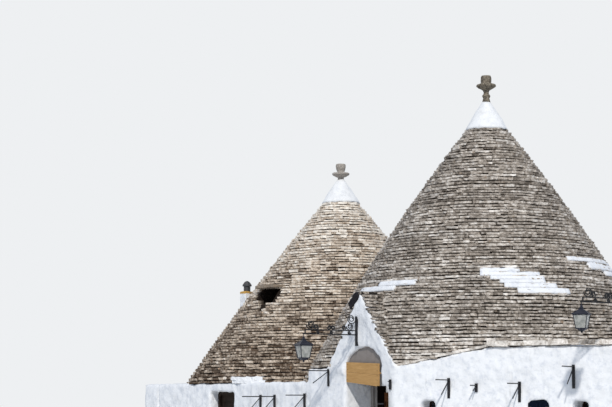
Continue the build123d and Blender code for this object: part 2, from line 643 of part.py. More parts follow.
def build_street_woodwork(nodes):
    """Board in the arch with the batten that carries it, and the folded shutter on the pier."""
    face = FACADE_Y + BOARD_INSET
    board = slanted_board(BOARD_TOP, BOARD_FOOT, ENTRANCE_LEFT + BOARD_LEFT_GAP,
                          ENTRANCE_RIGHT - BOARD_RIGHT_GAP, face, face + BOARD)
    middle = (ENTRANCE_RIGHT + ENTRANCE_LEFT) / 2
    half = (ENTRANCE_RIGHT - ENTRANCE_LEFT) / 2 - BOARD_LEFT_GAP
    board &= arch_cutter(half, ARCH_SPRING, ARCH_CROWN - BOARD_LEFT_GAP, face, face + BOARD, middle)
    batten_height, batten_depth = BATTEN
    centre = (BOARD_TOP[0] + BOARD_TOP[1] + BOARD_FOOT[0] + BOARD_FOOT[1]) / 4
    batten = block(ENTRANCE_LEFT, ENTRANCE_RIGHT, face + BOARD, face + BOARD + batten_depth,
                   centre - batten_height / 2, centre + batten_height / 2)
    nodes["hanging_board"] = board + batten
    notch_width, notch_height = SHUTTER_NOTCH
    thick = SHUTTER_LEAVES * SHUTTER_LEAF
    far_edge = ENTRANCE_RIGHT + SHUTTER_WIDTH
    shutter = block(ENTRANCE_RIGHT, far_edge, FACADE_Y - thick, FACADE_Y, SHUTTER_FOOT, SHUTTER_TOP)
    for joint in range(1, SHUTTER_LEAVES):
        y = FACADE_Y - joint * SHUTTER_LEAF
        shutter -= block(ENTRANCE_RIGHT - CUT, far_edge + CUT, y - SHUTTER_SLIT / 2,
                         y + SHUTTER_SLIT / 2, 0, FAR)
        edge = ENTRANCE_RIGHT if joint % 2 else far_edge
        for height in SHUTTER_HINGES:
            shutter += Pos(edge, y, height) * Cylinder(SHUTTER_LEAF / 2, SHUTTER_HINGE_HEIGHT)
    shutter -= block(ENTRANCE_RIGHT + SHUTTER_WIDTH - notch_width, FAR, -FAR, FAR,
                     SHUTTER_TOP - notch_height, FAR)
    nodes["folding_shutter"] = shutter


def build_windows(nodes):
    """Sash frames in their deep reveals, panes, and the closed shutters of the middle window."""
    frames = []
    panes = []
    for along, width, depth in WINDOWS:
        left = along - width / 2
        right = along + width / 2
        frame = turned_block(left, right, depth, depth + SASH_DEPTH, WINDOW_SILL, WINDOW_TOP)
        frame -= turned_block(left + SASH, right - SASH, depth - CUT, depth + SASH_DEPTH + CUT,
                              WINDOW_SILL + SASH, WINDOW_TOP - SASH)
        frames.append(frame)
        middle = depth + SASH_DEPTH / 2
        panes.append(turned_block(left + SASH, right - SASH, middle - PANE / 2, middle + PANE / 2,
                                  WINDOW_SILL + SASH, WINDOW_TOP - SASH))
    nodes["window_frames"] = Compound(frames)
    nodes["window_panes"] = Compound(panes)
    along, width, depth = WINDOWS[1]
    leaves = []
    for side in (-1, 1):
        near = along + side * SHUTTER_JOINT / 2
        far = along + side * width / 2
        leaves.append(turned_block(min(near, far), max(near, far), depth - WINDOW_SHUTTER, depth,
                                   WINDOW_SILL, WINDOW_TOP))
    nodes["window_shutters"] = Compound(leaves)


def build_roof_fittings(nodes):
    """Finials, the slab over the roof opening, and the chimney with its cowl."""
    nodes["big_finial"] = Pos(0, 0, BIG_CAP_TIP[1]) * turned_stone(BIG_FINIAL)
    nodes["middle_finial"] = Pos(MIDDLE_X, 0, MIDDLE_CAP_TIP[1]) * turned_stone(MIDDLE_FINIAL)
    x, y = CHIMNEY_AT
    shaft = chimney_shaft() - block(x - FLUE / 2, x + FLUE / 2, y - FLUE / 2, y + FLUE / 2,
                                    CHIMNEY_TOP - FLUE_DEPTH, CHIMNEY_TOP)
    nodes["vent_slab"] = vent_slab()
    nodes["chimney"] = shaft
    nodes["chimney_cowl"] = Pos(x, y, CHIMNEY_TOP) * turned_stone(COWL)


def turned_stone(profile):
    """Turned form from its half outline: pairs of radius and height above its seat."""
    with BuildSketch(Plane.XZ) as face:
        with BuildLine():
            Polyline((0, profile[0][1]), *profile, (0, profile[-1][1]), close=True)
        make_face()
    return revolve(face.sketch, Axis.Z)


def lantern_bracket():
    """Wall bar, arm and upper rail of one bracket, from the wall face at y = 0 towards -Y."""
    bracket = block(-UPRIGHT[0] / 2, UPRIGHT[0] / 2, -UPRIGHT[1], 0, -MOUNT_DOWN, MOUNT_UP)
    bracket += block(-BAR / 2, BAR / 2, -ARM, 0, -BAR / 2, BAR / 2)
    rail_length, rail_up = RAIL_BAR
    bracket += block(-BAR / 2, BAR / 2, -rail_length, 0, rail_up - BAR / 2, rail_up + BAR / 2)
    bracket += block(-BAR / 2, BAR / 2, -rail_length, -rail_length + BAR, 0, rail_up)
    rail_face = rail_up + BAR / 2
    for radius, out, side in SCROLLS:
        height = rail_face + radius + SCROLL_BAR[0] / 2 - SCROLL_BITE
        bracket += Pos(0, -out, height) * scroll(radius, side)
    ring = (rail_up - BAR - SCROLL_BAR[0]) / 2 + SCROLL_BITE
    for out in RINGS:
        bracket += Pos(0, -out, rail_up / 2) * flat_bar(half_ring(ring, 1) + half_ring(ring, -1))
    return bracket


def half_ring(radius, side):
    """Half turn of flat bar, seen from its side; side 1 is the upper half."""
    outer = radius + SCROLL_BAR[0] / 2
    whole = Circle(outer) - Circle(radius - SCROLL_BAR[0] / 2)
    return whole & (Pos(0, side * outer / 2) * Rectangle(2 * outer, outer))


def flat_bar(outline):
    """Bar bent to an outline, upright over the arm."""
    return extrude(Plane.YZ * outline, SCROLL_BAR[1] / 2, both=True)


def scroll(radius, side):
    """Scroll that starts on one side, rolls under and curls in, about its first half's centre."""
    centre = 0
    outline = half_ring(radius, -1)
    for half in range(1, SCROLL_HALVES):
        inner = radius * SCROLL_SHRINK
        shift = (radius - inner) if half % 2 else (inner - radius)
        centre -= side * shift
        outline += Pos(centre, 0) * half_ring(inner, 1 if half % 2 else -1)
        radius = inner
    return flat_bar(outline)


def hexagon_frustum(foot_r, top_r, z0, z1):
    """Six-sided tapered block with corners on the given radii."""
    foot = Pos(0, 0, z0) * RegularPolygon(foot_r, 6)
    top = Pos(0, 0, z1) * RegularPolygon(top_r, 6)
    return loft([foot.face(), top.face()])


def lantern_frame():
    """Roof, corner bars, base and hanger of one lantern, hung at the arm's end on z = 0."""
    top = -LANTERN_HANG
    foot = top - LANTERN_GLASS
    body = hexagon_frustum(LANTERN_ROOF_R, LANTERN_ROOF_R, top, top + LANTERN_EAVE)
    body += hexagon_frustum(LANTERN_ROOF_R, LANTERN_NECK_R, top + LANTERN_EAVE, top + LANTERN_ROOF)
    body += Pos(0, 0, (top + LANTERN_ROOF - BAR / 2) / 2) * Cylinder(HANGER_R, -top - LANTERN_ROOF - BAR / 2)
    body += hexagon_frustum(LANTERN_TIP, LANTERN_FOOT_R, foot - LANTERN_BASE, foot)
    shell = hexagon_frustum(LANTERN_FOOT_R, LANTERN_TOP_R, foot, top)
    core = hexagon_frustum(LANTERN_FOOT_R - LANTERN_BAR, LANTERN_TOP_R - LANTERN_BAR, foot, top)
    cage = shell - core
    for step in range(3):
        window = Rot(0, 0, 60 * step + 30) * Box(4 * LANTERN_TOP_R, LANTERN_FOOT_R - 2 * LANTERN_POST,
                                                 LANTERN_GLASS - 2 * LANTERN_BAR)
        cage -= Pos(0, 0, (top + foot) / 2) * window
    return body + cage


def lantern_glass():
    """Six-sided glass sleeve inside the corner bars."""
    top = -LANTERN_HANG
    foot = top - LANTERN_GLASS
    outer = hexagon_frustum(LANTERN_FOOT_R - LANTERN_BAR, LANTERN_TOP_R - LANTERN_BAR, foot, top)
    inner = hexagon_frustum(LANTERN_FOOT_R - LANTERN_BAR - GLASS, LANTERN_TOP_R - LANTERN_BAR - GLASS,
                            foot, top)
    return outer - inner


def wire_bracket(height, reach):
    """Wall plate, arm and brace of one bracket, from y = 0 towards -Y, arm on z = 0."""
    width, thick = WIRE_PLATE
    bracket = block(-width / 2, width / 2, -thick, 0, -height, WIRE_TOP)
    bracket += block(-WIRE_ARM / 2, WIRE_ARM / 2, -reach, 0, -WIRE_ARM / 2, WIRE_ARM / 2)
    drop = height * WIRE_BRACE_AT[0]
    run = reach * WIRE_BRACE_AT[1]
    brace = Box(WIRE_BRACE, math.hypot(drop, run), WIRE_BRACE)
    brace = Pos(0, -run / 2, -drop / 2) * Rot(math.degrees(math.atan2(drop, run)), 0, 0) * brace
    return bracket + (brace & block(-width, width, -reach, 0, -height, 0))


def on_window_wall(along):
    """Place on the window wall's outer face, turned with it."""
    spot = turned(along, 0)
    return Pos(spot.X, spot.Y, 0) * Rot(0, 0, TURN_DEG)


def build_ironwork(nodes):
    """Both lanterns on their brackets and the brackets that once carried wires."""
    places = [Pos(LANTERN_AT[0], FACADE_Y, LANTERN_AT[1]),
              Pos(RIGHT_FACE_X + SECOND_LANTERN_AT[0], RIGHT_FRONT_Y, SECOND_LANTERN_AT[1])]
    nodes["lantern_brackets"] = Compound([place * lantern_bracket() for place in places])
    hang = Pos(0, -ARM + LANTERN_IN, 0)
    nodes["lantern_frames"] = Compound([place * hang * lantern_frame() for place in places])
    nodes["lantern_glass"] = Compound([place * hang * lantern_glass() for place in places])
    brackets = [Pos(x, FACADE_Y, z) * wire_bracket(height, reach)
                for x, z, height, reach in FACADE_BRACKETS]
    brackets += [on_window_wall(along) * Pos(0, 0, z) * wire_bracket(height, reach)
                 for along, z, height, reach in WINDOW_WALL_BRACKETS]
    nodes["wire_brackets"] = Compound(brackets)


def build():
    """Make every node."""
    nodes = {}
    build_walls(nodes)
    build_roofs(nodes)
    build_roof_fittings(nodes)
    build_doors(nodes)
    build_windows(nodes)
    build_street_woodwork(nodes)
    build_ironwork(nodes)
    nodes["big_floor"], nodes["middle_floor"], nodes["door_sills"] = floors()
    return nodes


os.makedirs("parts", exist_ok=True)
for node_name, node_shape in build().items():
    write(node_name, node_shape)
    print(node_name, len(node_shape.solids()), round(node_shape.volume / 1e9, 3))
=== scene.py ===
"""Looks of the trullo house: drystone cones, limewashed walls, caps, finials, woodwork and iron.

Everything is in metres, in the frame of the CAD model: +X right along the street facade, +Y into
the house, +Z up, with the origin on the axis of the large cone, at the underside of the floor.
"""
from __future__ import annotations

import json
import logging
import math
from dataclasses import dataclass, field
from enum import Enum

import bmesh
import bpy
import numpy as np
from mathutils import Matrix, Vector, noise

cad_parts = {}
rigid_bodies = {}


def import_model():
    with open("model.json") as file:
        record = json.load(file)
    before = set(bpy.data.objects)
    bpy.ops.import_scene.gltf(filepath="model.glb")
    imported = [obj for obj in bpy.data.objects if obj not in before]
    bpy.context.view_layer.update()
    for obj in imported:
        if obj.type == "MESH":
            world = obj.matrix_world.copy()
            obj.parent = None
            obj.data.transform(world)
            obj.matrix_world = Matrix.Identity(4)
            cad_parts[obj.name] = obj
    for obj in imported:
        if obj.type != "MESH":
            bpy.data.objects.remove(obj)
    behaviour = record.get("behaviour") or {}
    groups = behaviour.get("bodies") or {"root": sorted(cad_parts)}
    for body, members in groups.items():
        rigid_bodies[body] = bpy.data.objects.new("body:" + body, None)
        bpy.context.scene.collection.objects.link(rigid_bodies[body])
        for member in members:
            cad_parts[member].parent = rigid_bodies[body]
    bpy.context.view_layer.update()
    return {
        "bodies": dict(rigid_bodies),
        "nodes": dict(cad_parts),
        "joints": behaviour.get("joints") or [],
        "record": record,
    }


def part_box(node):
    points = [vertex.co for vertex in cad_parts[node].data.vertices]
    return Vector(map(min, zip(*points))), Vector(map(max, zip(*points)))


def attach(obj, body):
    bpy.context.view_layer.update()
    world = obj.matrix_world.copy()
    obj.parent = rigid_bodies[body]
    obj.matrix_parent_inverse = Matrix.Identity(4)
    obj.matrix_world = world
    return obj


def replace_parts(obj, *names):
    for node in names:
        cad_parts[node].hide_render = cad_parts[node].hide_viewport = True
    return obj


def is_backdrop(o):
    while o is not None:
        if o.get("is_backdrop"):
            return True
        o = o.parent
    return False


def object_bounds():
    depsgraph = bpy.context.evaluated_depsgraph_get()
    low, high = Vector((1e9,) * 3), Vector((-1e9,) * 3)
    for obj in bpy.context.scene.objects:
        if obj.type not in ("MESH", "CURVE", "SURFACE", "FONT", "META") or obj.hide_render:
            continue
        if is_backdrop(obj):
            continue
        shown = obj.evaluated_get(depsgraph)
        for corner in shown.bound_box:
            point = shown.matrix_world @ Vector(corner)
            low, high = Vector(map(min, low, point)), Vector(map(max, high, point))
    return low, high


log = logging.getLogger("trullo")

BMesh = bmesh.types.BMesh
BMVert = bmesh.types.BMVert
Object = bpy.types.Object
Tree = bpy.types.NodeTree
Node = bpy.types.Node
Socket = bpy.types.NodeSocket
Pair = tuple[float, float]
Point = tuple[float, float, float]
Shape = tuple[np.ndarray, list[list[int]]]      # points, and the point numbers of each face

HOUSE = "house"
FACADE_Y = -3.25              # street face of the wall
BACK_Y = 3.25
LEFT_X = -8.35                # outer face of the left party wall
CORNER_X = 1.2                # where the window wall turns away from the facade
TURN = math.radians(30.0)     # turn of the window wall
WINDOW_WALL_LENGTH = 4.4
STEP_X = -1.65                # the wall top is lower to the left of this place
LOW_TOP = 2.05
ENTRANCE_TOP = 2.3
WINDOW_WALL_TOP = 2.65
SLOPE_RUN = 1.9               # the window wall's top rises over this length
BEDDING = 0.02                # slabs start this far above a wall's top
GABLE_X = 0.16
GABLE_HALF = 1.04
GABLE_PEAK = 3.64
GABLE_DEPTH = 0.62
GABLE_SLOPE = (GABLE_PEAK - ENTRANCE_TOP) / GABLE_HALF
COPING = 0.07
MIDDLE_X = -5.19              # axis of the left cone
WALL = 0.85                   # thickness of the street walls
PLASTER = 0.1                 # reach of their plaster, with its lumps
GABLE_BEDDING = 0.06          # slabs start this far above the gable's slopes
SQUARE = ((1, 1), (-1, 1), (-1, -1), (1, -1))
WELD = 1e-5                   # points closer than this are one


def linear(hex_colour: str) -> tuple[float, float, float, float]:
    """Turn an sRGB hex colour into linear RGBA.

    Args:
        hex_colour: Six hex digits, as in "c8b090".

    Returns:
        Red, green, blue and an alpha of 1.
    """
    parts = [int(hex_colour[i:i + 2], 16) / 255.0 for i in (0, 2, 4)]
    scaled = [p / 12.92 if p <= 0.04045 else ((p + 0.055) / 1.055) ** 2.4 for p in parts]
    return scaled[0], scaled[1], scaled[2], 1.0


def feed(tree: Tree, node: Node, inputs: dict) -> None:
    """Set a node's inputs, each to a value or to the output socket that feeds it.

    Args:
        tree: Node tree that holds the node.
        node: Node to set.
        inputs: Socket name or number to a value, or to an output socket.
    """
    for name, value in inputs.items():
        if isinstance(value, Socket):
            tree.links.new(value, node.inputs[name])
        else:
            node.inputs[name].default_value = value


def add_node(tree: Tree, kind: str, inputs: dict | None = None, stops: tuple[tuple[float, str], ...] = (),
             **settings) -> Node:
    """Add one shader node with its settings, values and links.

    Args:
        tree: Node tree that gets the node.
        kind: Type name of the node, without the "ShaderNode" that starts it.
        inputs: Socket name or number to a value, or to the output socket that feeds it.
        stops: Position and hex colour of each stop, on a colour ramp.
        **settings: Properties of the node.

    Returns:
        The new node.
    """
    node = tree.nodes.new("ShaderNode" + kind)
    for name, value in settings.items():
        setattr(node, name, value)
    feed(tree, node, inputs or {})
    if stops:
        elements = node.color_ramp.elements
        while len(elements) < len(stops):
            elements.new(0.5)
        for element, (position, colour) in zip(elements, stops):
            element.position = position
            element.color = linear(colour)
    return node


def clouds(place: Socket, size: float, detail: float = 5.0, rough: float = 0.6) -> dict:
    """Values for a noise whose blotches have a real size.

    Args:
        place: Coordinates in metres.
        size: Width of a blotch in metres.
        detail: Octaves of finer noise.
        rough: Weight of the finer octaves.

    Returns:
        Inputs of the noise node.
    """
    return {"Vector": place, "Scale": 1.0 / size, "Detail": detail, "Roughness": rough}


def coat(tree: Tree, under: Socket | str, over: str, pattern: Socket, low: float = 0.0, high: float = 1.0,
         most: float = 1.0) -> Socket:
    """Lay a colour over another where a pattern is strong.

    Args:
        tree: Node tree of the material.
        under: Colour so far, as a socket or in hex.
        over: Hex colour that is laid over it.
        pattern: Strength of the pattern.
        low: Strength at which the new colour starts.
        high: Strength from which it covers most.
        most: Share that it covers there.

    Returns:
        The colour with the new coat.
    """
    ground = linear(under) if isinstance(under, str) else under
    share = add_node(tree, "MapRange", {"Value": pattern, "From Min": low, "From Max": high, "To Max": most})
    return add_node(tree, "Mix", {"Factor": share.outputs["Result"], "A": ground, "B": linear(over)},
                    data_type="RGBA").outputs["Result"]


def raise_bump(tree: Tree, shader: Node, layers: list[tuple[Socket, float, float]]) -> None:
    """Stack bumps, coarse first, and feed the shader's normal.

    Args:
        tree: Node tree of the material.
        shader: Its shader.
        layers: Height, strength and distance in metres of each bump.
    """
    below = {}
    for height, strength, distance in layers:
        inputs = {"Height": height, "Strength": strength, "Distance": distance, **below}
        bump = add_node(tree, "Bump", inputs)
        below = {"Normal": bump.outputs["Normal"]}
    feed(tree, shader, below)


@dataclass(frozen=True)
class Finish:
    """A surface finish; build() makes its material once."""

    name: str

    def build(self) -> bpy.types.Material:
        """Make the material, or return it when it exists already.

        Returns:
            The material.
        """
        label = self.name + "_look"
        made = bpy.data.materials.get(label)
        if made:
            return made
        material = bpy.data.materials.new(label)
        material.use_nodes = True
        tree = material.node_tree
        tree.nodes.clear()
        shader = add_node(tree, "BsdfPrincipled")
        add_node(tree, "OutputMaterial", {"Surface": shader.outputs["BSDF"]})
        self.dress(tree, shader, add_node(tree, "TexCoord").outputs["Object"])
        return material

    def dress(self, tree: Tree, shader: Node, place: Socket) -> None:
        """Set the shader up; each kind of finish has its own way."""
        raise NotImplementedError


@dataclass(frozen=True)
class SplitLimestone(Finish):
    """Limestone split by hand into roof slabs, weathered: matt, blotched, with painted shade darkening the
    joints.
    """

    dark: str = "4a4138"
    middle: str = "b0a598"
    light: str = "faf3e9"
    lichen: str = "6b645d"
    lichen_share: float = 0.38
    rust: str = "a08060"
    lime: str = "ecedee"
    # colour of the painted shade deep in the joints between the slabs
    joint: str = "1b1714"

    def dress(self, tree: Tree, shader: Node, place: Socket) -> None:
        """Tone per stone from its attribute, blotches of 75 and 18 mm, lichen in patches of 0.42 m.

        Args:
            tree: Node tree of the material.
            shader: Its shader.
            place: Coordinates in metres.
        """
        tone, joint_shade, limed = [add_node(tree, "Attribute", attribute_name=name).outputs["Fac"]
                             for name in ("tone", "joint_shade", "limed")]
        broad = add_node(tree, "TexNoise", clouds(place, 0.075, 3.0)).outputs["Fac"]
        fine = add_node(tree, "TexNoise", clouds(place, 0.018, rough=0.65)).outputs["Fac"]
        stains = add_node(tree, "TexNoise", clouds(place, 0.11, 6.0)).outputs["Fac"]
        crust = add_node(tree, "TexNoise", clouds(place, 0.42, 7.0, 0.66)).outputs["Fac"]
        shade = add_node(tree, "Math", {0: broad, 1: 1.3, 2: tone}, operation="MULTIPLY_ADD").outputs[0]
        shade = add_node(tree, "Math", {0: fine, 1: 0.8, 2: shade}, operation="MULTIPLY_ADD").outputs[0]
        shade = add_node(tree, "Math", {0: shade, 1: 1.05}, operation="SUBTRACT").outputs[0]
        colour = add_node(tree, "ValToRGB", {"Fac": shade}, (
            (0.08, self.dark), (0.5, self.middle), (0.92, self.light))).outputs["Color"]
        colour = coat(tree, colour, self.rust, stains, 0.63, 0.72, 0.5)
        colour = coat(tree, colour, self.lichen, crust, 0.47, 0.66, self.lichen_share)
        # painted shade: the slabs darken deep in the joints, where they shade each other
        colour = coat(tree, colour, self.joint, joint_shade)
        worn = add_node(tree, "Math", {0: fine, 1: 0.5, 2: limed}, operation="MULTIPLY_ADD").outputs[0]
        colour = coat(tree, colour, self.lime, worn, 0.85, 1.05)
        feed(tree, shader, {"Base Color": colour, "Roughness": 0.92, "Specular IOR Level": 0.2})
        raise_bump(tree, shader, [(broad, 0.6, 0.012), (fine, 0.7, 0.005)])


@dataclass(frozen=True)
class Rubble(Finish):
    """Rubble core behind the roof slabs, in shade and only seen through the joints: coloured dark as painted
    shade.
    """

    earth_and_shade: str = "191512"
    stone: str = "2e2621"
    chip: str = "4a4139"

    def dress(self, tree: Tree, shader: Node, place: Socket) -> None:
        """Earth and chips, coloured dark as painted shade, mottled at 30 mm.

        Args:
            tree: Node tree of the material.
            shader: Its shader.
            place: Coordinates in metres.
        """
        chips = add_node(tree, "TexNoise", clouds(place, 0.03)).outputs["Fac"]
        colour = add_node(tree, "ValToRGB", {"Fac": chips}, (
            (0.3, self.earth_and_shade), (0.6, self.stone), (0.8, self.chip))).outputs["Color"]
        feed(tree, shader, {"Base Color": colour, "Roughness": 1.0, "Specular IOR Level": 0.1})
        raise_bump(tree, shader, [(chips, 0.8, 0.01)])


@dataclass(frozen=True)
class Limewash(Finish):
    """Many coats of limewash brushed over rubble: chalky white, soft lumps, grey where it wears thin."""

    colour: str = "edeeef"
    thin: str = "d9dce1"
    bright: str = "f5f5f5"
    stain: str = "a09c92"
    stain_share: float = 0.25
    lump: float = 0.015
    rim: str = "c49a52"
    rim_height: float = 100.0     # ochre above this height

    def dress(self, tree: Tree, shader: Node, place: Socket) -> None:
        """Brush coats of 0.11 m, lumps of 60 mm, stains in broad patches and in drips.

        Args:
            tree: Node tree of the material.
            shader: Its shader.
            place: Coordinates in metres.
        """
        coats = add_node(tree, "TexNoise", clouds(place, 0.11, 6.0, 0.65)).outputs["Fac"]
        dirt = add_node(tree, "TexNoise", clouds(place, 0.6, 8.0, 0.7)).outputs["Fac"]
        drawn = add_node(tree, "Mapping", {"Vector": place, "Scale": (9.0, 9.0, 0.9)}).outputs["Vector"]
        drips = add_node(tree, "TexNoise", clouds(drawn, 1.0, 4.0)).outputs["Fac"]
        lumps = add_node(tree, "TexNoise", clouds(place, 0.06, 3.0)).outputs["Fac"]
        grit = add_node(tree, "TexNoise", clouds(place, 0.013)).outputs["Fac"]
        height = add_node(tree, "SeparateXYZ", {0: place}).outputs["Z"]
        ragged = add_node(tree, "Math", {0: coats, 1: 0.08, 2: height}, operation="MULTIPLY_ADD").outputs[0]
        colour = add_node(tree, "ValToRGB", {"Fac": coats}, (
            (0.32, self.thin), (0.5, self.colour), (1.0, self.bright))).outputs["Color"]
        colour = coat(tree, colour, self.stain, dirt, 0.56, 0.76, self.stain_share)
        colour = coat(tree, colour, self.stain, drips, 0.6, 0.75, 0.25)
        colour = coat(tree, colour, self.rim, ragged, self.rim_height, self.rim_height + 0.01)
        feed(tree, shader, {"Base Color": colour, "Roughness": 0.9, "Specular IOR Level": 0.15})
        raise_bump(tree, shader, [(lumps, 0.7, self.lump), (grit, 0.5, 0.003)])


@dataclass(frozen=True)
class TurnedStone(Finish):
    """Limestone dressed with a chisel, weathered, with lichen in blotches of 60 mm."""

    colour: str = "9c958b"
    lichen: str = "5a554c"
    pale: str = "c9c3b8"
    share: float = 0.5
    course: float = 0.0           # height of the courses that show as dark joints
    joint: str = "3a352f"

    def dress(self, tree: Tree, shader: Node, place: Socket) -> None:
        """Blotches over a mottled ground, with level joints where it is laid in courses.

        Args:
            tree: Node tree of the material.
            shader: Its shader.
            place: Coordinates in metres.
        """
        mottle = add_node(tree, "TexNoise", clouds(place, 0.025, 6.0)).outputs["Fac"]
        crust = add_node(tree, "TexNoise", clouds(place, 0.06, rough=0.7)).outputs["Fac"]
        colour = add_node(tree, "ValToRGB", {"Fac": mottle}, (
            (0.3, self.lichen), (0.55, self.colour), (0.8, self.pale))).outputs["Color"]
        colour = coat(tree, colour, self.lichen, crust, 0.45, 0.6, self.share)
        layers = [(mottle, 0.8, 0.004)]
        if self.course:
            # At a scale of 1 the wave turns by 20 radians a metre.
            level = add_node(tree, "TexWave", {
                "Vector": place, "Scale": 2 * math.pi / (20.0 * self.course), "Distortion": 1.5,
                "Detail": 2.0, "Detail Scale": 2.0}, bands_direction="Z", wave_profile="SAW").outputs["Fac"]
            colour = coat(tree, colour, self.joint, level, 0.9, 0.98, 0.8)
            layers.append((level, 0.9, 0.02))
        feed(tree, shader, {"Base Color": colour, "Roughness": 0.9, "Specular IOR Level": 0.2})
        raise_bump(tree, shader, layers)


@dataclass(frozen=True)
class Flagstones(Finish):
    """Limestone flags, worn smooth by feet, with sandy joints of 6 mm."""

    worn: str = "b8ae9a"
    tones: tuple[str, str] = ("bfb5a2", "a2977f")
    joint: str = "7d7363"
    flag: Pair = (0.5, 0.35)

    def dress(self, tree: Tree, shader: Node, place: Socket) -> None:
        """Flags of 0.5 by 0.35 m, each with its own tone.

        Args:
            tree: Node tree of the material.
            shader: Its shader.
            place: Coordinates in metres.
        """
        flags = add_node(tree, "TexBrick", {
            "Vector": place, "Color1": linear(self.tones[0]), "Color2": linear(self.tones[1]),
            "Mortar": linear(self.joint), "Scale": 1.0, "Mortar Size": 0.006,
            "Brick Width": self.flag[0], "Row Height": self.flag[1]})
        wear = add_node(tree, "TexNoise", clouds(place, 0.2)).outputs["Fac"]
        hollows = add_node(tree, "TexNoise", clouds(place, 0.15)).outputs["Fac"]
        colour = coat(tree, flags.outputs["Color"], self.worn, wear, 0.4, 0.7, 0.5)
        feed(tree, shader, {"Base Color": colour, "Roughness": 0.6})
        raise_bump(tree, shader, [(hollows, 0.4, 0.01), (flags.outputs["Fac"], -0.5, 0.006)])


@dataclass(frozen=True)
class Planks(Finish):
    """Softwood planks, sawn and nailed, grain along one axis; painted or bare."""

    pale: str = "b58a55"
    dark: str = "8a6336"
    along: Point = (1.5, 30.0, 30.0)
    roughness: float = 0.7
    contrast: float = 1.0
    sheen: float = 0.15

    def dress(self, tree: Tree, shader: Node, place: Socket) -> None:
        """Grain lines of about 10 mm, stretched along the plank, under faint blotches.

        Args:
            tree: Node tree of the material.
            shader: Its shader.
            place: Coordinates in metres.
        """
        drawn = add_node(tree, "Mapping", {"Vector": place, "Scale": self.along}).outputs["Vector"]
        grain = add_node(tree, "TexNoise", {
            **clouds(drawn, 1.0 / 3.0, 7.0, 0.65), "Distortion": 0.6}).outputs["Fac"]
        wear = add_node(tree, "TexNoise", clouds(place, 0.15)).outputs["Fac"]
        reach = 0.18 / self.contrast
        colour = add_node(tree, "ValToRGB", {"Fac": grain}, (
            (0.5 - reach, self.dark), (0.5 + reach, self.pale))).outputs["Color"]
        colour = coat(tree, colour, self.dark, wear, 0.55, 0.8, 0.4)
        feed(tree, shader, {"Base Color": colour, "Roughness": self.roughness,
                            "Specular IOR Level": self.sheen})
        raise_bump(tree, shader, [(grain, 0.5, 0.002)])


@dataclass(frozen=True)
class ForgedIron(Finish):
    """Forged iron under brushed matt paint: dark, dull sheen, rust at the edges."""

    colour: str = "15171c"
    rust: str = "4a2c1c"
    rust_share: float = 0.35

    def dress(self, tree: Tree, shader: Node, place: Socket) -> None:
        """Paint with rust bleeding through in spots of 30 mm.

        Args:
            tree: Node tree of the material.
            shader: Its shader.
            place: Coordinates in metres.
        """
        spots = add_node(tree, "TexNoise", clouds(place, 0.03, 6.0)).outputs["Fac"]
        colour = coat(tree, self.colour, self.rust, spots, 0.56, 0.72, self.rust_share)
        feed(tree, shader, {"Base Color": colour, "Roughness": 0.5, "Metallic": 0.3})
        raise_bump(tree, shader, [(spots, 0.4, 0.001)])


@dataclass(frozen=True)
class LampGlass(Finish):
    """Frosted lantern glass: pale, cloudy, lets a little light through."""

    colour: str = "e6e6e0"
    film: str = "b4b7b1"

    def dress(self, tree: Tree, shader: Node, place: Socket) -> None:
        """Cloudy film of dust, thicker in patches.

        Args:
            tree: Node tree of the material.
            shader: Its shader.
            place: Coordinates in metres.
        """
        dust = add_node(tree, "TexNoise", clouds(place, 0.08)).outputs["Fac"]
        colour = add_node(tree, "ValToRGB", {"Fac": dust}, (
            (0.35, self.film), (0.6, self.colour))).outputs["Color"]
        feed(tree, shader, {"Base Color": colour, "Roughness": 0.18, "Transmission Weight": 0.6, "IOR": 1.5})


@dataclass(frozen=True)
class PaneGlass(Finish):
    """Window glass, tinted dark as painted shade of the room behind it."""

    # dark tint: painted shade of the room behind the glass
    colour: str = "2b3338"

    def dress(self, tree: Tree, shader: Node, place: Socket) -> None:
        """Nearly clear, slightly uneven.

        Args:
            tree: Node tree of the material.
            shader: Its shader.
            place: Coordinates in metres.
        """
        waves = add_node(tree, "TexNoise", clouds(place, 0.25, 1.0)).outputs["Fac"]
        feed(tree, shader, {"Base Color": linear(self.colour), "Roughness": 0.06,
                            "Transmission Weight": 0.5, "IOR": 1.5})
        raise_bump(tree, shader, [(waves, 0.1, 0.002)])


UPRIGHT_GRAIN = (20.0, 20.0, 1.5)
GREY_STONE = SplitLimestone("grey_roof_slabs")
WARM_STONE = SplitLimestone("warm_roof_slabs", dark="5a4a3c", middle="d0bfab", light="fff7ea",
                            lichen="85776a", lichen_share=0.3, rust="c79a6c")
# near-black colours: painted shade on the stone at the gable's tip
TIP_STONE = SplitLimestone("gable_tip_stone", dark="1b1a1e", middle="302f36", light="4a4950",
                           lichen="26252a", rust="302f36")
VENT_STONE = SplitLimestone("vent_slab_stone", dark="8a7c6c", middle="c6b8a8", light="e8dccd",
                            lichen="9a8d7c", lichen_share=0.2)
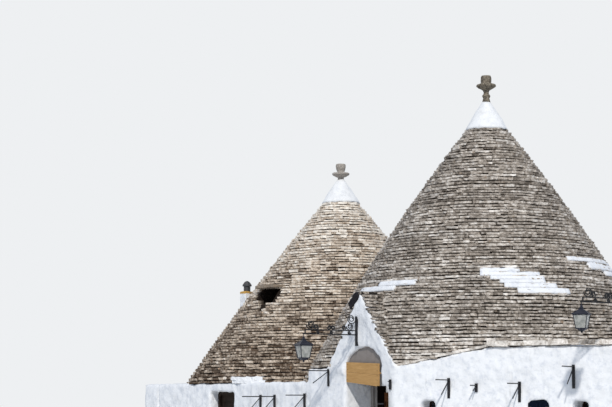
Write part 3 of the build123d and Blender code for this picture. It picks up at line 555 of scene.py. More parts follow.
# coloured dark as painted shade in the joints and in the left cone's opening
RUBBLE = Rubble("roof_rubble")
LIMEWASH = Limewash("limewash")
TERRACE = Limewash("terrace_limewash", colour="dad7d0", thin="b7b2a8", stain="817a6e", stain_share=0.6)
CHIMNEY_WASH = Limewash("chimney_limewash", stain_share=0.4, rim_height=4.135)
CAP_PLASTER = Limewash("cap_plaster", colour="eeeeed", thin="e0e1e2", stain="aaa79f", stain_share=0.3,
                       bright="f4f4f3", lump=0.006)
LUNETTE_PLASTER = Limewash("lunette_plaster", colour="8b847f", thin="827b76", bright="8f8883", stain="7a736d",
                           lump=0.003)
GREY_PLASTER = Limewash("grey_plaster", colour="a9a39d", thin="948e88", bright="b0aaa4", stain="7d7771",
                        lump=0.004)
DOME_STONE = TurnedStone("dome_blocks", colour="bdb6aa", lichen="958d80", pale="dcd6cb", share=0.2,
                         course=0.16)
DARK_FINIAL = TurnedStone("dark_finial", colour="8a8070", lichen="332d27", pale="b9ae9b", share=0.6)
PALE_FINIAL = TurnedStone("pale_finial", colour="aea69b", lichen="77706a", pale="d2ccc4", share=0.35)
FLOOR_STONE = Flagstones("floor_flags")
BOARD_WOOD = Planks("board_planks", pale="c79e68", dark="a57e4c")
GREY_PAINT = Planks("grey_painted_wood", pale="a39e99", dark="8f8a86", along=UPRIGHT_GRAIN, contrast=0.6)
DARK_WOOD = Planks("dark_stained_wood", pale="35271d", dark="1a130f", along=UPRIGHT_GRAIN)
BLACK_PAINT = Planks("black_painted_wood", pale="0d0908", dark="060404", along=UPRIGHT_GRAIN, sheen=0.0,
                     roughness=1.0)
RUSTY_EDGE = Planks("worn_shutter_edge", pale="54341f", dark="281910", along=UPRIGHT_GRAIN, sheen=0.05)
# navy paint darkened towards black as painted shade on the closed shutters
NAVY_PAINT = Planks("navy_painted_wood", pale="121a29", dark="0a1019", along=UPRIGHT_GRAIN, sheen=0.03,
                    roughness=0.9)
IRON = ForgedIron("wrought_iron")
LANTERN_IRON = ForgedIron("lantern_iron", colour="131829", rust_share=0.1)
COWL_IRON = ForgedIron("cowl_sheet", colour="3f4144", rust="6d4a33", rust_share=0.6)
LAMP_GLASS = LampGlass("frosted_glass")
PANE_GLASS = PaneGlass("window_glass")


def dress_node(node: Object, finish: Finish) -> None:
    """Give a CAD node its finish."""
    node.data.materials.clear()
    node.data.materials.append(finish.build())


def ridden(name: str, data: bpy.types.Mesh, finish: Finish, body: str = HOUSE) -> Object:
    """Turn mesh data into a piece that rides on a body, with its finish.

    Args:
        name: Name of the piece.
        data: Its mesh.
        finish: Its material.
        body: Body that carries it.

    Returns:
        The new object.
    """
    piece = bpy.data.objects.new(name, data)
    bpy.context.scene.collection.objects.link(piece)
    data.materials.append(finish.build())
    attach(piece, body)
    log.info("%s: %d faces", name, len(data.polygons))
    return piece


def finished(name: str, mesh: BMesh, finish: Finish, body: str = HOUSE,
             smooth: bool = True) -> Object:
    """Turn a bmesh into a piece that rides on a body.

    Args:
        name: Name of the piece.
        mesh: Its shape, freed here.
        finish: Its material.
        body: Body that carries it.
        smooth: Whether its faces shade smoothly.

    Returns:
        The new object.
    """
    data = bpy.data.meshes.new(name)
    mesh.to_mesh(data)
    mesh.free()
    data.polygons.foreach_set("use_smooth", [smooth] * len(data.polygons))
    return ridden(name, data, finish, body)


def rumple(mesh: BMesh, lumps: list[Pair], shift: float = 0.0) -> None:
    """Move the points along their normals by smooth noise.

    Args:
        mesh: Shape to roughen.
        lumps: Width and depth in metres of each size of lump.
        shift: Start of the noise, so that two pieces don't get the same lumps.
    """
    mesh.normal_update()
    start = Vector((shift, 0.0, 0.0))
    for vertex in mesh.verts:
        move = sum(depth * noise.noise(vertex.co / size + start) for size, depth in lumps)
        vertex.co += vertex.normal * move


def soften(mesh: BMesh, offset: float, least: float = 30.0, segments: int = 2) -> None:
    """Bevel the edges that turn by more than some degrees.

    Args:
        mesh: Shape to soften.
        offset: Width of the bevel in metres.
        least: Smallest turn of an edge that is bevelled, in degrees.
        segments: Steps of the bevel.
    """
    mesh.normal_update()
    sharp = [e for e in mesh.edges if e.is_manifold and e.calc_face_angle(0.0) > math.radians(least)]
    bmesh.ops.bevel(mesh, geom=sharp, offset=offset, offset_type="OFFSET", segments=segments,
                    profile=0.5, affect="EDGES", clamp_overlap=True, material=-1)


def block(mesh: BMesh, low: Point, high: Point, place: Matrix = Matrix()) -> list[BMVert]:
    """Add a box between two corners, then move it with a matrix.

    Args:
        mesh: Shape that gets the box.
        low: Lowest corner.
        high: Highest corner.
        place: Matrix that puts it in place.

    Returns:
        Its corner points.
    """
    size = Vector(high) - Vector(low)
    centre = (Vector(high) + Vector(low)) / 2
    made = bmesh.ops.create_cube(mesh, size=1.0, matrix=place @ Matrix.Translation(centre)
                                 @ Matrix.Diagonal((*size, 1.0)))
    return made["verts"]


def rod(mesh: BMesh, start: Vector, end: Vector, radius: float, sides: int = 8) -> None:
    """Add a round or many-sided rod between two points.

    Args:
        mesh: Shape that gets the rod.
        start: Middle of its first end.
        end: Middle of its other end.
        radius: Its radius.
        sides: Number of its sides.
    """
    run = end - start
    turn = run.to_track_quat("Z", "Y").to_matrix().to_4x4()
    bmesh.ops.create_cone(mesh, cap_ends=True, segments=sides, radius1=radius, radius2=radius,
                          depth=run.length, matrix=Matrix.Translation((start + end) / 2) @ turn)


def knob(mesh: BMesh, place: Matrix, radius: float, around: int = 12, up: int = 8) -> None:
    """Add a small ball, such as the head of a nail or a bolt."""
    bmesh.ops.create_uvsphere(mesh, u_segments=around, v_segments=up, radius=radius, matrix=place)


def plate(mesh: BMesh, outline: list[Pair], front: float, thick: float) -> None:
    """Add an upright plate that faces the street.

    Args:
        mesh: Shape that gets the plate.
        outline: Its corners in x and z, in order.
        front: Place of its front in y.
        thick: Its thickness, into the house.
    """
    face = mesh.faces.new([mesh.verts.new((x, front, z)) for x, z in outline])
    pulled = bmesh.ops.extrude_face_region(mesh, geom=[face])
    bmesh.ops.translate(mesh, verts=[v for v in pulled["geom"] if isinstance(v, BMVert)],
                        vec=(0.0, thick, 0.0))


def spun(profile: list[Pair], centre: Vector, segments: int = 64) -> BMesh:
    """Turn a half outline about an upright axis.

    Args:
        profile: Radius and height of each point, starting and ending on the axis.
        centre: Foot of the axis.
        segments: Steps of the turn.

    Returns:
        The closed shape.
    """
    mesh = bmesh.new()
    points = [mesh.verts.new((r, 0.0, z)) for r, z in profile]
    edges = [mesh.edges.new(pair) for pair in zip(points, points[1:])]
    bmesh.ops.spin(mesh, geom=points + edges, cent=(0.0, 0.0, 0.0), axis=(0.0, 0.0, 1.0),
                   angle=2 * math.pi, steps=segments, use_merge=True, use_duplicate=False)
    bmesh.ops.remove_doubles(mesh, verts=mesh.verts, dist=WELD)
    bmesh.ops.recalc_face_normals(mesh, faces=mesh.faces)
    bmesh.ops.translate(mesh, vec=centre, verts=mesh.verts)
    return mesh


def turned(along: float, inward: float, height: float = 0.0) -> Vector:
    """Place on the window wall: along it from the corner, and inward from its outer face."""
    return Vector((CORNER_X + along * math.cos(TURN) - inward * math.sin(TURN),
                   FACADE_Y + along * math.sin(TURN) + inward * math.cos(TURN), height))


def wall_top(x: float, y: float) -> float:
    """Height of the outer walls' top at a place in plan.

    Args:
        x: Place along the street.
        y: Place into the house.

    Returns:
        The height.
    """
    if x < STEP_X:
        return LOW_TOP
    if x < CORNER_X:
        return ENTRANCE_TOP
    if y > 0:
        return WINDOW_WALL_TOP
    along = (x - CORNER_X) / math.cos(TURN)
    return ENTRANCE_TOP + (WINDOW_WALL_TOP - ENTRANCE_TOP) * min(1.0, along / SLOPE_RUN)


@dataclass(frozen=True)
class Patch:
    """Stones that were limewashed: a stretch of the cone by angle in degrees and by height."""

    start: float
    end: float
    low: float
    high: float

    def holds(self, angle: float, height: float) -> bool:
        """Whether a stone at this angle and height is limewashed."""
        return self.start <= angle <= self.end and self.low <= height <= self.high


class WallFace(Enum):
    """Upright wall faces that cut the cones off: outward direction in plan and distance."""

    STREET = (0.0, -1.0, -FACADE_Y)
    BACK = (0.0, 1.0, BACK_Y)
    WINDOWS = (math.sin(TURN), -math.cos(TURN), CORNER_X * math.sin(TURN) - FACADE_Y * math.cos(TURN))
    LEFT = (-1.0, 0.0, -LEFT_X)


def in_street_wall(place: Vector, height: float) -> bool:
    """Whether a place is inside the masonry or the plaster of the facade or the window wall.

    Args:
        place: Place in plan.
        height: Its height.

    Returns:
        True inside.
    """
    if height > wall_top(place.x, place.y) + BEDDING:
        return False
    for wall in (WallFace.STREET, WallFace.WINDOWS):
        out_x, out_y, distance = wall.value
        if -PLASTER < distance - (out_x * place.x + out_y * place.y) < WALL:
            return True
    return False


@dataclass
class Slab:
    """One roof slab: the ends of its outer edge in plan, its height, and how it was laid."""

    start: Vector
    end: Vector
    height: float
    thick: float
    tone: float
    limed: float
    kind: int
    push: float
    tip: float
    roll: float
    yaw: float

    def turn(self) -> Matrix:
        """Its own turn: along its edge, with its tip, roll and yaw.

        Returns:
            A matrix of three rows.
        """
        along = (self.end - self.start).normalized()
        frame = Matrix(((along.x, -along.y, 0.0), (along.y, along.x, 0.0), (0.0, 0.0, 1.0)))
        return (frame @ Matrix.Rotation(self.yaw, 3, "Z") @ Matrix.Rotation(self.tip, 3, "X")
                @ Matrix.Rotation(self.roll, 3, "Y"))

    def centre(self) -> Vector:
        """Middle of its outer edge in plan, pushed out."""
        along = (self.end - self.start).normalized()
        return (self.start + self.end) / 2 + Vector((along.y, -along.x)) * self.push


@dataclass
class Drystone:
    """Split slabs laid dry in level courses."""

    name: str
    slot: str
    finish: SplitLimestone
    seed: int
    course: float = 0.063     # height of a course
    length: float = 0.19      # usual length of a slab
    depth: float = 0.16       # how far a slab reaches into the roof
    proud: float = 0.010      # how far slabs stand out from the CAD shape
    ragged: float = 0.012
    spread: float = 0.09      # spread of the stones' tones
    kinds: int = 28
    parts: int = 2
    broken: float = 0.007     # depth of the breaks in a slab's face
    thin: Pair = (0.58, 0.86)                 # thickness of a slab, as a share of its course
    settled: float = 0.0028                   # spread of the slabs' heights
    tilts: Point = (0.04, 0.022, 0.03)        # spread of their tip, roll and yaw in radians
    bound: float = 0.15       # limewashed slabs stray by this share of what bare ones do
    overlap: float = 0.012    # limewashed slabs close up by this
    joint: float = 0.002      # gap between bare slabs
    joint_shade_rise: float = 3.4    # how soon the painted shade on a slab's sides deepens towards its back
    joint_shade_start: float = 0.10
    joint_shade_most: float = 0.97
    rng: np.random.Generator = field(init=False)

    def __post_init__(self) -> None:
        """Seed the slab sizes."""
        self.rng = np.random.default_rng(self.seed)

    def slab_kind(self) -> Shape:
        """One slab: length on X, outer face at y = 0, depth on +Y, height on Z, with a broken face.

        Returns:
            Its points and the point numbers of its faces.
        """
        mesh = bmesh.new()
        block(mesh, (-self.length / 2, 0.0, -self.course / 2), (self.length / 2, self.depth, self.course / 2))
        long_edges = [e for e in mesh.edges if abs(e.verts[0].co.x - e.verts[1].co.x) > self.length / 2]
        bmesh.ops.subdivide_edges(mesh, edges=long_edges, cuts=2)
        for vertex in mesh.verts:
            vertex.co += Vector(self.rng.normal(0.0, 1.0, 3) * (self.broken, self.broken, self.broken / 2))
        front = [e for e in mesh.edges if all(v.co.y < self.depth / 2 for v in e.verts)
                 and e.calc_face_angle(0.0) > math.radians(45)]
        bmesh.ops.bevel(mesh, geom=front, offset=self.broken, offset_type="OFFSET", segments=1, profile=0.5,
                        affect="EDGES", clamp_overlap=True, material=-1)
        mesh.verts.index_update()
        points = np.array([v.co[:] for v in mesh.verts])
        faces = [[v.index for v in f.verts] for f in mesh.faces]
        mesh.free()
        return points, faces

    def slab(self, start: Vector, end: Vector, height: float, course: float, tone: float,
             limed: bool = False) -> Slab:
        """Choose one slab for a stretch of a course.

        Args:
            start: One end of its outer edge in plan.
            end: Its other end.
            height: Height of its middle.
            course: Height of the course.
            tone: Tone of the course, from 0 for dark to 1 for pale.
            limed: Whether it was limewashed.

        Returns:
            The slab.
        """
        loose = self.bound if limed else 1.0
        thick = course * (0.99 if limed else self.rng.uniform(*self.thin))
        shift, tip, roll, yaw = self.rng.normal(0.0, 1.0, 4) * loose
        own_tone = float(np.clip(tone + self.rng.normal(0.0, self.spread), 0.0, 1.0))
        kind = int(self.rng.integers(self.kinds))
        push = self.proud + self.rng.uniform(-self.ragged, self.ragged) * loose
        return Slab(start, end, height + shift * self.settled, thick, own_tone, float(limed), kind, push,
                    tip * self.tilts[0], roll * self.tilts[1], yaw * self.tilts[2])

    def lay(self) -> list[Slab]:
        """Lay every course; each kind of roof has its own way."""
        raise NotImplementedError

    def joint_shade(self, shape: np.ndarray, limed: float) -> np.ndarray:
        """Painted shade on a slab's points, which grows with their depth in the joint."""
        deep = shape[:, 1] / self.depth * self.joint_shade_rise - self.joint_shade_start
        return np.clip(deep, 0.0, self.joint_shade_most) * (1.0 - limed)

    def join(self, name: str, slabs: list[Slab], kinds: list[Shape]) -> Object:
        """Join slabs into one piece with their tone, painted joint shade and lime as attributes.

        Args:
            name: Name of the piece.
            slabs: Slabs from lay().
            kinds: Slab shapes from slab_kind().

        Returns:
            The piece.
        """
        points, faces = [], []
        values = {"tone": [], "joint_shade": [], "limed": []}
        offset = 0
        for slab in slabs:
            shape, loops = kinds[slab.kind]
            gap = -self.overlap if slab.limed else self.joint
            run = max(0.04, (slab.end - slab.start).length - gap)
            local = shape * (run / self.length, 1.0, slab.thick / self.course)
            points.append(local @ np.array(slab.turn()).T + (*slab.centre(), slab.height))
            faces.extend([[i + offset for i in loop] for loop in loops])
            offset += len(shape)
            values["tone"].append(np.full(len(shape), slab.tone))
            values["joint_shade"].append(self.joint_shade(shape, slab.limed))
            values["limed"].append(np.full(len(shape), slab.limed))
        data = bpy.data.meshes.new(name)
        world = np.concatenate(points)
        world[:, 1] = np.clip(world[:, 1], FACADE_Y - 0.03, BACK_Y)
        world[:, 0] = np.maximum(world[:, 0], LEFT_X)
        data.from_pydata(world.tolist(), [], faces)
        for label, rows in values.items():
            attribute = data.attributes.new(label, "FLOAT", "POINT")
            attribute.data.foreach_set("value", np.concatenate(rows).astype(np.float32))
        log.info("%s: %d slabs", name, len(slabs))
        return ridden(name, data, self.finish)

    def build(self) -> list[Object]:
        """Lay the stones and join them in a few pieces, from the foot up.

        Returns:
            The pieces.
        """
        kinds = [self.slab_kind() for _ in range(self.kinds)]
        slabs = self.lay()
        share = math.ceil(len(slabs) / self.parts)
        return [self.join(f"{self.name}_{part + 1}", slabs[part * share:(part + 1) * share], kinds)
                for part in range(self.parts)]


@dataclass
class DrystoneCone(Drystone):
    """One cone of slabs over the CAD cone, cut off straight at the outer wall faces."""

    axis_x: float = 0.0
    foot: Pair = (3.76, 2.05)
    top: Pair = (0.455, 7.12)
    bulge: float = 0.13
    ledge: float = -0.052         # the slabs lie this far out from the smooth flank
    foot_tone: float = 0.50
    top_tone: float = 0.50
    tone_rise: float = 1.2        # how soon the foot's tone turns into the top's
    tone_wander: float = 0.05     # spread of the courses' tones
    uneven: float = 0.2           # spread of the courses' heights, as a share
    stub: float = 0.5             # spread of the slabs' lengths, as a share
    pale_rows_top: float = 2.95       # below this, the rows over the window wall are paler
    pale_rows_lift: float = 0.12
    waver: float = 0.018          # the courses rise and sink by this
    trimmed: float = 0.022        # slabs cut off at the back and left faces are drawn in by this
    patches: tuple[Patch, ...] = ()
    faces: tuple[WallFace, ...] = (WallFace.STREET, WallFace.BACK, WallFace.WINDOWS)

    def arc_radius(self, height: float) -> float:
        """Radius of the bulging flank at a height.

        Args:
            height: Height in the house's frame.

        Returns:
            The radius.
        """
        (r0, z0), (r1, z1) = self.foot, self.top
        share = (height - z0) / (z1 - z0)
        slant = math.hypot(r1 - r0, z1 - z0) / (z1 - z0)
        return r0 + (r1 - r0) * share + 4 * self.bulge * share * (1 - share) * slant

    def radius(self, height: float) -> float:
        """Radius at which the slabs' outer edges lie at a height."""
        return self.arc_radius(height) + self.ledge

    def spot(self, height: float, angle: float) -> tuple[Vector, bool]:
        """Point of a course in plan at an angle from the axis.

        Args:
            height: Height of the course.
            angle: Angle from +X, counterclockwise.

        Returns:
            The point, and whether a wall face cuts the cone off there.
        """
        reach = self.radius(height)
        cut = False
        for wall in self.faces:
            out_x, out_y, distance = wall.value
            toward = out_x * math.cos(angle) + out_y * math.sin(angle)
            if toward > 0 and (distance - out_x * self.axis_x) / toward < reach:
                reach = (distance - out_x * self.axis_x) / toward
                cut = True
        return Vector((self.axis_x + reach * math.cos(angle), reach * math.sin(angle))), cut

    def keeps(self, place: Vector, height: float, cut: bool) -> bool:
        """Whether a slab at this place shows: not inside a wall, the gable or a neighbour.

        Args:
            place: Middle of the slab in plan.
            height: Its height.
            cut: Whether a wall face cuts the cone off there.

        Returns:
            True for a slab that is laid.
        """
        if in_street_wall(place, height) or (cut and height < wall_top(place.x, place.y) + BEDDING):
            return False
        half = max(0.0, GABLE_PEAK + GABLE_BEDDING - height) / GABLE_SLOPE
        return not (place.y < FACADE_Y + GABLE_DEPTH and abs(place.x - GABLE_X) < half)

    def levels(self) -> np.ndarray:
        """Heights of the joints between the courses, which are not all of one height.

        Returns:
            The heights, one more than there are courses.
        """
        height = self.top[1] - self.foot[1]
        rises = self.rng.uniform(1 - self.uneven, 1 + self.uneven, round(height / self.course))
        return self.foot[1] + np.concatenate(([0.0], np.cumsum(rises))) * height / rises.sum()

    def lay(self) -> list[Slab]:
        """Lay the courses from the foot up, each with its own joints.

        Returns:
            The slabs, in the order in which they were laid.
        """
        slabs = []
        levels = self.levels()
        count = len(levels) - 1
        for number, (low, high) in enumerate(zip(levels, levels[1:])):
            height, course = float(low + high) / 2, float(high - low)
            stones = max(7, round(2 * math.pi * self.radius(height) / self.length))
            widths = self.rng.uniform(1 - self.stub, 1 + self.stub, stones)
            edges = np.cumsum(widths / widths.sum() * 2 * math.pi) + self.rng.uniform(0, 2 * math.pi)
            # on the left cone, foot_tone and top_tone make this painted shade towards the foot and painted
            # light towards the top
            share = min(1.0, number / count * self.tone_rise)
            tone = (self.foot_tone + (self.top_tone - self.foot_tone) * share
                    + self.rng.normal(0.0, self.tone_wander))
            for start, end in zip(np.roll(edges, 1), edges):
                (near, _), (far, cut) = self.spot(height, start), self.spot(height, end)
                middle = (near + far) / 2
                if not self.keeps(middle, height, cut):
                    continue
                turn = math.degrees(math.atan2(middle.y, middle.x - self.axis_x))
                limed = any(patch.holds(turn, height) for patch in self.patches)
                pale = height < self.pale_rows_top and middle.x > CORNER_X and middle.y < 0
                rise = noise.noise(Vector((middle.x * 1.3, middle.y * 1.3, height * 0.6))) * self.waver
                own_tone = tone + (self.pale_rows_lift if pale else 0.0)
                slab = self.slab(near, far, height + rise, course, own_tone, limed)
                if cut and (middle.y > 0 or middle.x < LEFT_X + WALL):
                    slab.push -= self.trimmed
                slabs.append(slab)
        return slabs


@dataclass
class MiddleCone(DrystoneCone):
    """The left cone, which runs into the large one and has an opening in its flank."""

    neighbour: DrystoneCone | None = None
    vent_top: float = 4.12
    vent_tip: Pair = (-4.90, 3.62)
    vent_left: Pair = (-5.46, 3.96)
    vent_right: Pair = (-4.64, 3.90)
    tucked: float = 0.12          # slabs run this far into the large cone

    def in_vent(self, x: float, height: float) -> bool:
        """Whether a place lies in the opening, which narrows to a tip below.

        Args:
            x: Place along the street.
            height: Its height.

        Returns:
            True in the opening.
        """
        if not self.vent_tip[1] < height < self.vent_top:
            return False
        sides = []
        for side_x, side_z in (self.vent_left, self.vent_right):
            share = min(1.0, (height - self.vent_tip[1]) / (side_z - self.vent_tip[1]))
            sides.append(self.vent_tip[0] + (side_x - self.vent_tip[0]) * share)
        return sides[0] < x < sides[1]

    def keeps(self, place: Vector, height: float, cut: bool) -> bool:
        """Leave out slabs inside the large cone and in the opening.

        Args:
            place: Middle of the slab in plan.
            height: Its height.
            cut: Whether a wall face cuts the cone off there; not used here.

        Returns:
            True for a slab that is laid.
        """
        if place.length < self.neighbour.radius(height) - self.tucked:
            return False
        return not (place.y < 0 and self.in_vent(place.x, height))


@dataclass
class GableRoof(Drystone):
    """Level courses of slabs on both slopes of the gable, back to the large cone."""

    cone: DrystoneCone | None = None
    tone: float = 0.5
    lift: float = 0.012                       # the slabs lie this far above the CAD coping
    front: float = FACADE_Y - 0.004
    verge: Pair = (-0.022, 0.012)             # how far their ends stand out over the street
    bite: float = 0.04                        # how far the last ones reach into the cone
    least: float = 0.05

    def lay(self) -> list[Slab]:
        """Lay both slopes from the eaves to the tip.

        Returns:
            The slabs, in the order in which they were laid.
        """
        slabs = []
        tip = GABLE_PEAK + (COPING + self.lift) * math.hypot(1.0, GABLE_SLOPE)
        for number in range(int((tip - ENTRANCE_TOP) / self.course)):
            height = ENTRANCE_TOP + (number + 0.5) * self.course
            for side in (1, -1):
                x = GABLE_X + side * (tip - height) / GABLE_SLOPE
                reach = self.cone.radius(height) ** 2 - x * x
                front = self.front + self.rng.uniform(*self.verge)
                back = -math.sqrt(max(reach, 0.3)) + self.bite
                if back - front < self.least:
                    continue
                stones = max(1, round((back - front) / self.length))
                ends = np.linspace(front, back, stones + 1)
                for near, far in zip(ends, ends[1:]):
                    a, b = Vector((x, near)), Vector((x, far))
                    if side < 0:
                        a, b = b, a
                    slabs.append(self.slab(a, b, height, self.course, self.tone))
        return slabs


@dataclass
class PlasteredMasonry:
    """Rubble walls under many coats of limewash: every arris rounded, every face lumpy."""

    name: str
    nodes: tuple[str, ...]
    slot: str
    finish: Limewash
    voxel: float
    lumps: tuple[Pair, ...] = ((0.35, 0.026), (0.12, 0.018))
    shift: float = 0.0

    def add_facing(self, mesh: BMesh) -> None:
        """Add what the nodes lack; plain walls lack nothing."""

    def build(self, cad: dict[str, Object]) -> None:
        """Join the nodes into one mass, round it off and roughen it; it takes their place.

        Args:
            cad: CAD nodes by name.
        """
        mesh = bmesh.new()
        for node in self.nodes:
            mesh.from_mesh(cad[node].data)
        bmesh.ops.remove_doubles(mesh, verts=mesh.verts, dist=WELD)
        self.add_facing(mesh)
        low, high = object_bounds()
        rough = bpy.data.meshes.new(self.name + "_rough")
        mesh.to_mesh(rough)
        mesh.free()
        holder = bpy.data.objects.new(self.name + "_rough", rough)
        bpy.context.scene.collection.objects.link(holder)
        remesh = holder.modifiers.new("round_off", "REMESH")
        remesh.mode = "VOXEL"
        remesh.voxel_size = self.voxel
        graph = bpy.context.evaluated_depsgraph_get()
        rounded = bpy.data.meshes.new_from_object(holder.evaluated_get(graph))
        bpy.data.objects.remove(holder)
        bpy.data.meshes.remove(rough)
        mesh = bmesh.new()
        mesh.from_mesh(rounded)
        bpy.data.meshes.remove(rounded)
        rumple(mesh, list(self.lumps), self.shift)
        for vertex in mesh.verts:
            vertex.co = Vector(max(low[i], min(high[i], vertex.co[i])) for i in range(3))
        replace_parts(finished(self.name, mesh, self.finish), *self.nodes)


@dataclass
class StreetWalls(PlasteredMasonry):
    """The street walls, with the limewashed face of the gable's coping."""

    facing: float = 0.075         # thickness of the plaster
    front: float = FACADE_Y - 0.018
    half: float = GABLE_HALF + COPING * 1.25
    tip: float = 3.70
    strip: float = 0.22           # width of a strip at the eaves
    drop: float = 1.6             # height of a strip at the tip, in widths of a strip

    def add_facing(self, mesh: BMesh) -> None:
        """Add two strips of plaster as wide and high as the coping, one on each slope.

        Args:
            mesh: The joined walls.
        """
        for side in (-1, 1):
            plate(mesh, [(GABLE_X + side * self.half, ENTRANCE_TOP), (GABLE_X, self.tip),
                         (GABLE_X, self.tip - self.drop * self.strip),
                         (GABLE_X + side * (self.half - self.strip), ENTRANCE_TOP)], self.front, self.facing)
        bmesh.ops.recalc_face_normals(mesh, faces=mesh.faces)


@dataclass
class RubbleCore:
    """Rubble behind one cone's slabs, drawn in behind them all round."""

    node: str
    cone: DrystoneCone
    slot: str
    back: float = 0.03            # its straight faces go back by this
    inside: float = 0.055         # its flank goes in by this, behind the slabs' own place
    band: float = 0.06            # height of the CAD cone's bands over the smooth flank

    def build(self, cad: dict[str, Object]) -> None:
        """Copy the CAD cone, draw its flank in and its straight faces back; it takes the node's place.

        Args:
            cad: CAD nodes by name.
        """
        mesh = bmesh.new()
        mesh.from_mesh(cad[self.node].data)
        bmesh.ops.remove_doubles(mesh, verts=mesh.verts, dist=WELD)
        for vertex in mesh.verts:
            spot = vertex.co.copy()
            for wall in WallFace:
                out_x, out_y, distance = wall.value
                if abs(out_x * spot.x + out_y * spot.y - distance) < 1e-3:
                    vertex.co -= Vector((out_x, out_y, 0.0)) * self.back
            out = Vector((spot.x - self.cone.axis_x, spot.y, 0.0))
            if out.length > self.cone.arc_radius(spot.z) - self.band:
                vertex.co -= out.normalized() * (self.inside - self.cone.ledge)
        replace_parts(finished(self.node.replace("_roof", "_rubble"), mesh, RUBBLE, smooth=False),
                    self.node)


@dataclass
class LimewashStrips:
    """Rows of a cone's slabs brushed over with so many coats of limewash that they are one smooth band."""

    name: str
    cone: DrystoneCone
    rows: tuple[tuple[float, float, float, float], ...]    # degrees from, degrees to, low and high edge
    proud: float = 0.032          # the band's face stands this far out from the slabs
    eased: float = 0.008          # and this much less at its edges
    sunk: float = 0.06
    joint: float = -0.002         # gap between two rows, which overlap
    shift: float = 6.0            # start of the noise

    def build(self) -> None:
        """Turn each row's outline about the cone's axis and roughen it."""
        mesh = bmesh.new()
        axis = Vector((self.cone.axis_x, 0.0, 0.0))
        for start, end, low, high in self.rows:
            heights = [low + self.joint + (high - low - 2 * self.joint) * step / 3 for step in range(4)]
            eased = (self.eased, 0.0, 0.0, self.eased)
            outline = [(self.cone.radius(z) + self.proud - ease, z) for z, ease in zip(heights, eased)]
            outline += [(self.cone.radius(z) - self.sunk, z) for z in (heights[-1], heights[0])]
            turn = Matrix.Rotation(math.radians(start), 4, "Z")
            points = [mesh.verts.new(axis + turn @ Vector((r, 0.0, z))) for r, z in outline]
            face = mesh.faces.new(points)
            steps = max(3, round(math.radians(end - start) * outline[0][0] / 0.05))
            bmesh.ops.spin(mesh, geom=points + list(face.edges) + [face], cent=axis, axis=(0.0, 0.0, 1.0),
                           angle=math.radians(end - start), steps=steps, use_duplicate=False)
        bmesh.ops.recalc_face_normals(mesh, faces=mesh.faces)
        rumple(mesh, [(0.16, 0.008), (0.05, 0.004)], self.shift)
        finished(self.name, mesh, LIMEWASH)


@dataclass
class EaveSlabs(Drystone):
    """Large pale slabs that lie on the wall tops and reach over the street."""

    over: float = 0.05            # how far the slabs reach over the street
    end: float = 0.02             # room at both ends of the wall
    least: float = 0.25           # no slab starts closer to the far end
    sizes: Pair = (0.30, 0.55)
    tone: float = 0.72
    sunk: float = 0.45            # height of a slab's middle over the wall, in thicknesses

    def lay(self) -> list[Slab]:
        """Lay one course along the window wall's top; the slabs on its rising stretch are thin.

        Returns:
            The slabs, in the order in which they were laid.
        """
        slabs = []
        along = self.end
        while along < WINDOW_WALL_LENGTH - self.least:
            end = min(along + self.rng.uniform(*self.sizes), WINDOW_WALL_LENGTH - self.end)
            rising = (along + end) / 2 < SLOPE_RUN
            course = self.course * (0.5 if rising else 1.0)
            over = self.over * (0.3 if rising else 1.0)
            near, far = turned(along, -over).to_2d(), turned(end, -over).to_2d()
            middle = (near + far) / 2
            height = wall_top(middle.x, middle.y) + course * self.sunk
            slab = self.slab(near, far, height, course, self.tone)
            if rising:
                slab.roll -= math.atan((WINDOW_WALL_TOP - ENTRANCE_TOP) / SLOPE_RUN)
            slabs.append(slab)
            along = end
        return slabs


@dataclass
class Cap:
    """Plastered cap of one cone, and the turned finial on it."""

    cone: str                     # which cone, as in the names of its nodes
    axis_x: float
    foot: Pair                    # radius and height of the plaster's lower edge
    tip: Pair                     # and of its top, where the finial stands
    finial: tuple[Pair, ...]      # radius and height over the tip, from the axis back to the axis
    stone: TurnedStone
    slot: str
    shift: float                  # start of the noise
    steps: int = 14
    belly: float = 0.012
    lip: float = 0.05             # width of the rim's underside
    hollow: float = 0.03          # the middle of the underside is raised by this
    sag: Pair = (0.012, 0.022)    # how far the edge sinks: mean and spread

    def plaster(self) -> None:
        """Make the cap: a cone of plaster, trowelled by hand, with a wavering lower edge."""
        (wide, low), (narrow, high) = self.foot, self.tip
        profile = [(0.0, low + self.hollow), (wide - self.lip, low)]
        for step in range(self.steps + 1):
            share = step / self.steps
            profile.append((wide + (narrow - wide) * share + self.belly * math.sin(math.pi * share),
                            low + (high - low) * share))
        profile.append((0.0, high))
        mesh = spun(profile, Vector((self.axis_x, 0.0, 0.0)), 96)
        rumple(mesh, [(0.25, 0.014), (0.08, 0.006)], self.shift)
        for vertex in mesh.verts:
            if vertex.co.z < low + 0.02:
                wander = noise.noise(vertex.co * 9.0 + Vector((self.shift, 0.0, 0.0)))
                vertex.co.z -= self.sag[0] + self.sag[1] * wander
        piece = finished(self.cone + "_cap_plaster", mesh, CAP_PLASTER)
        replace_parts(piece, self.cone + "_cap")

    def crown(self) -> None:
        """Make the finial, turned and weathered."""
        foot = Vector((self.axis_x, 0.0, self.tip[1]))
        mesh = spun(list(self.finial), foot, 56)
        bmesh.ops.smooth_vert(mesh, verts=[v for v in mesh.verts if v.co.z > foot.z + 0.01],
                              factor=0.25, use_axis_x=True, use_axis_y=True, use_axis_z=True)
        rumple(mesh, [(0.06, 0.006), (0.02, 0.003)], foot.z)
        piece = finished(self.cone + "_finial_stone", mesh, self.stone)
        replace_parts(piece, self.cone + "_finial")


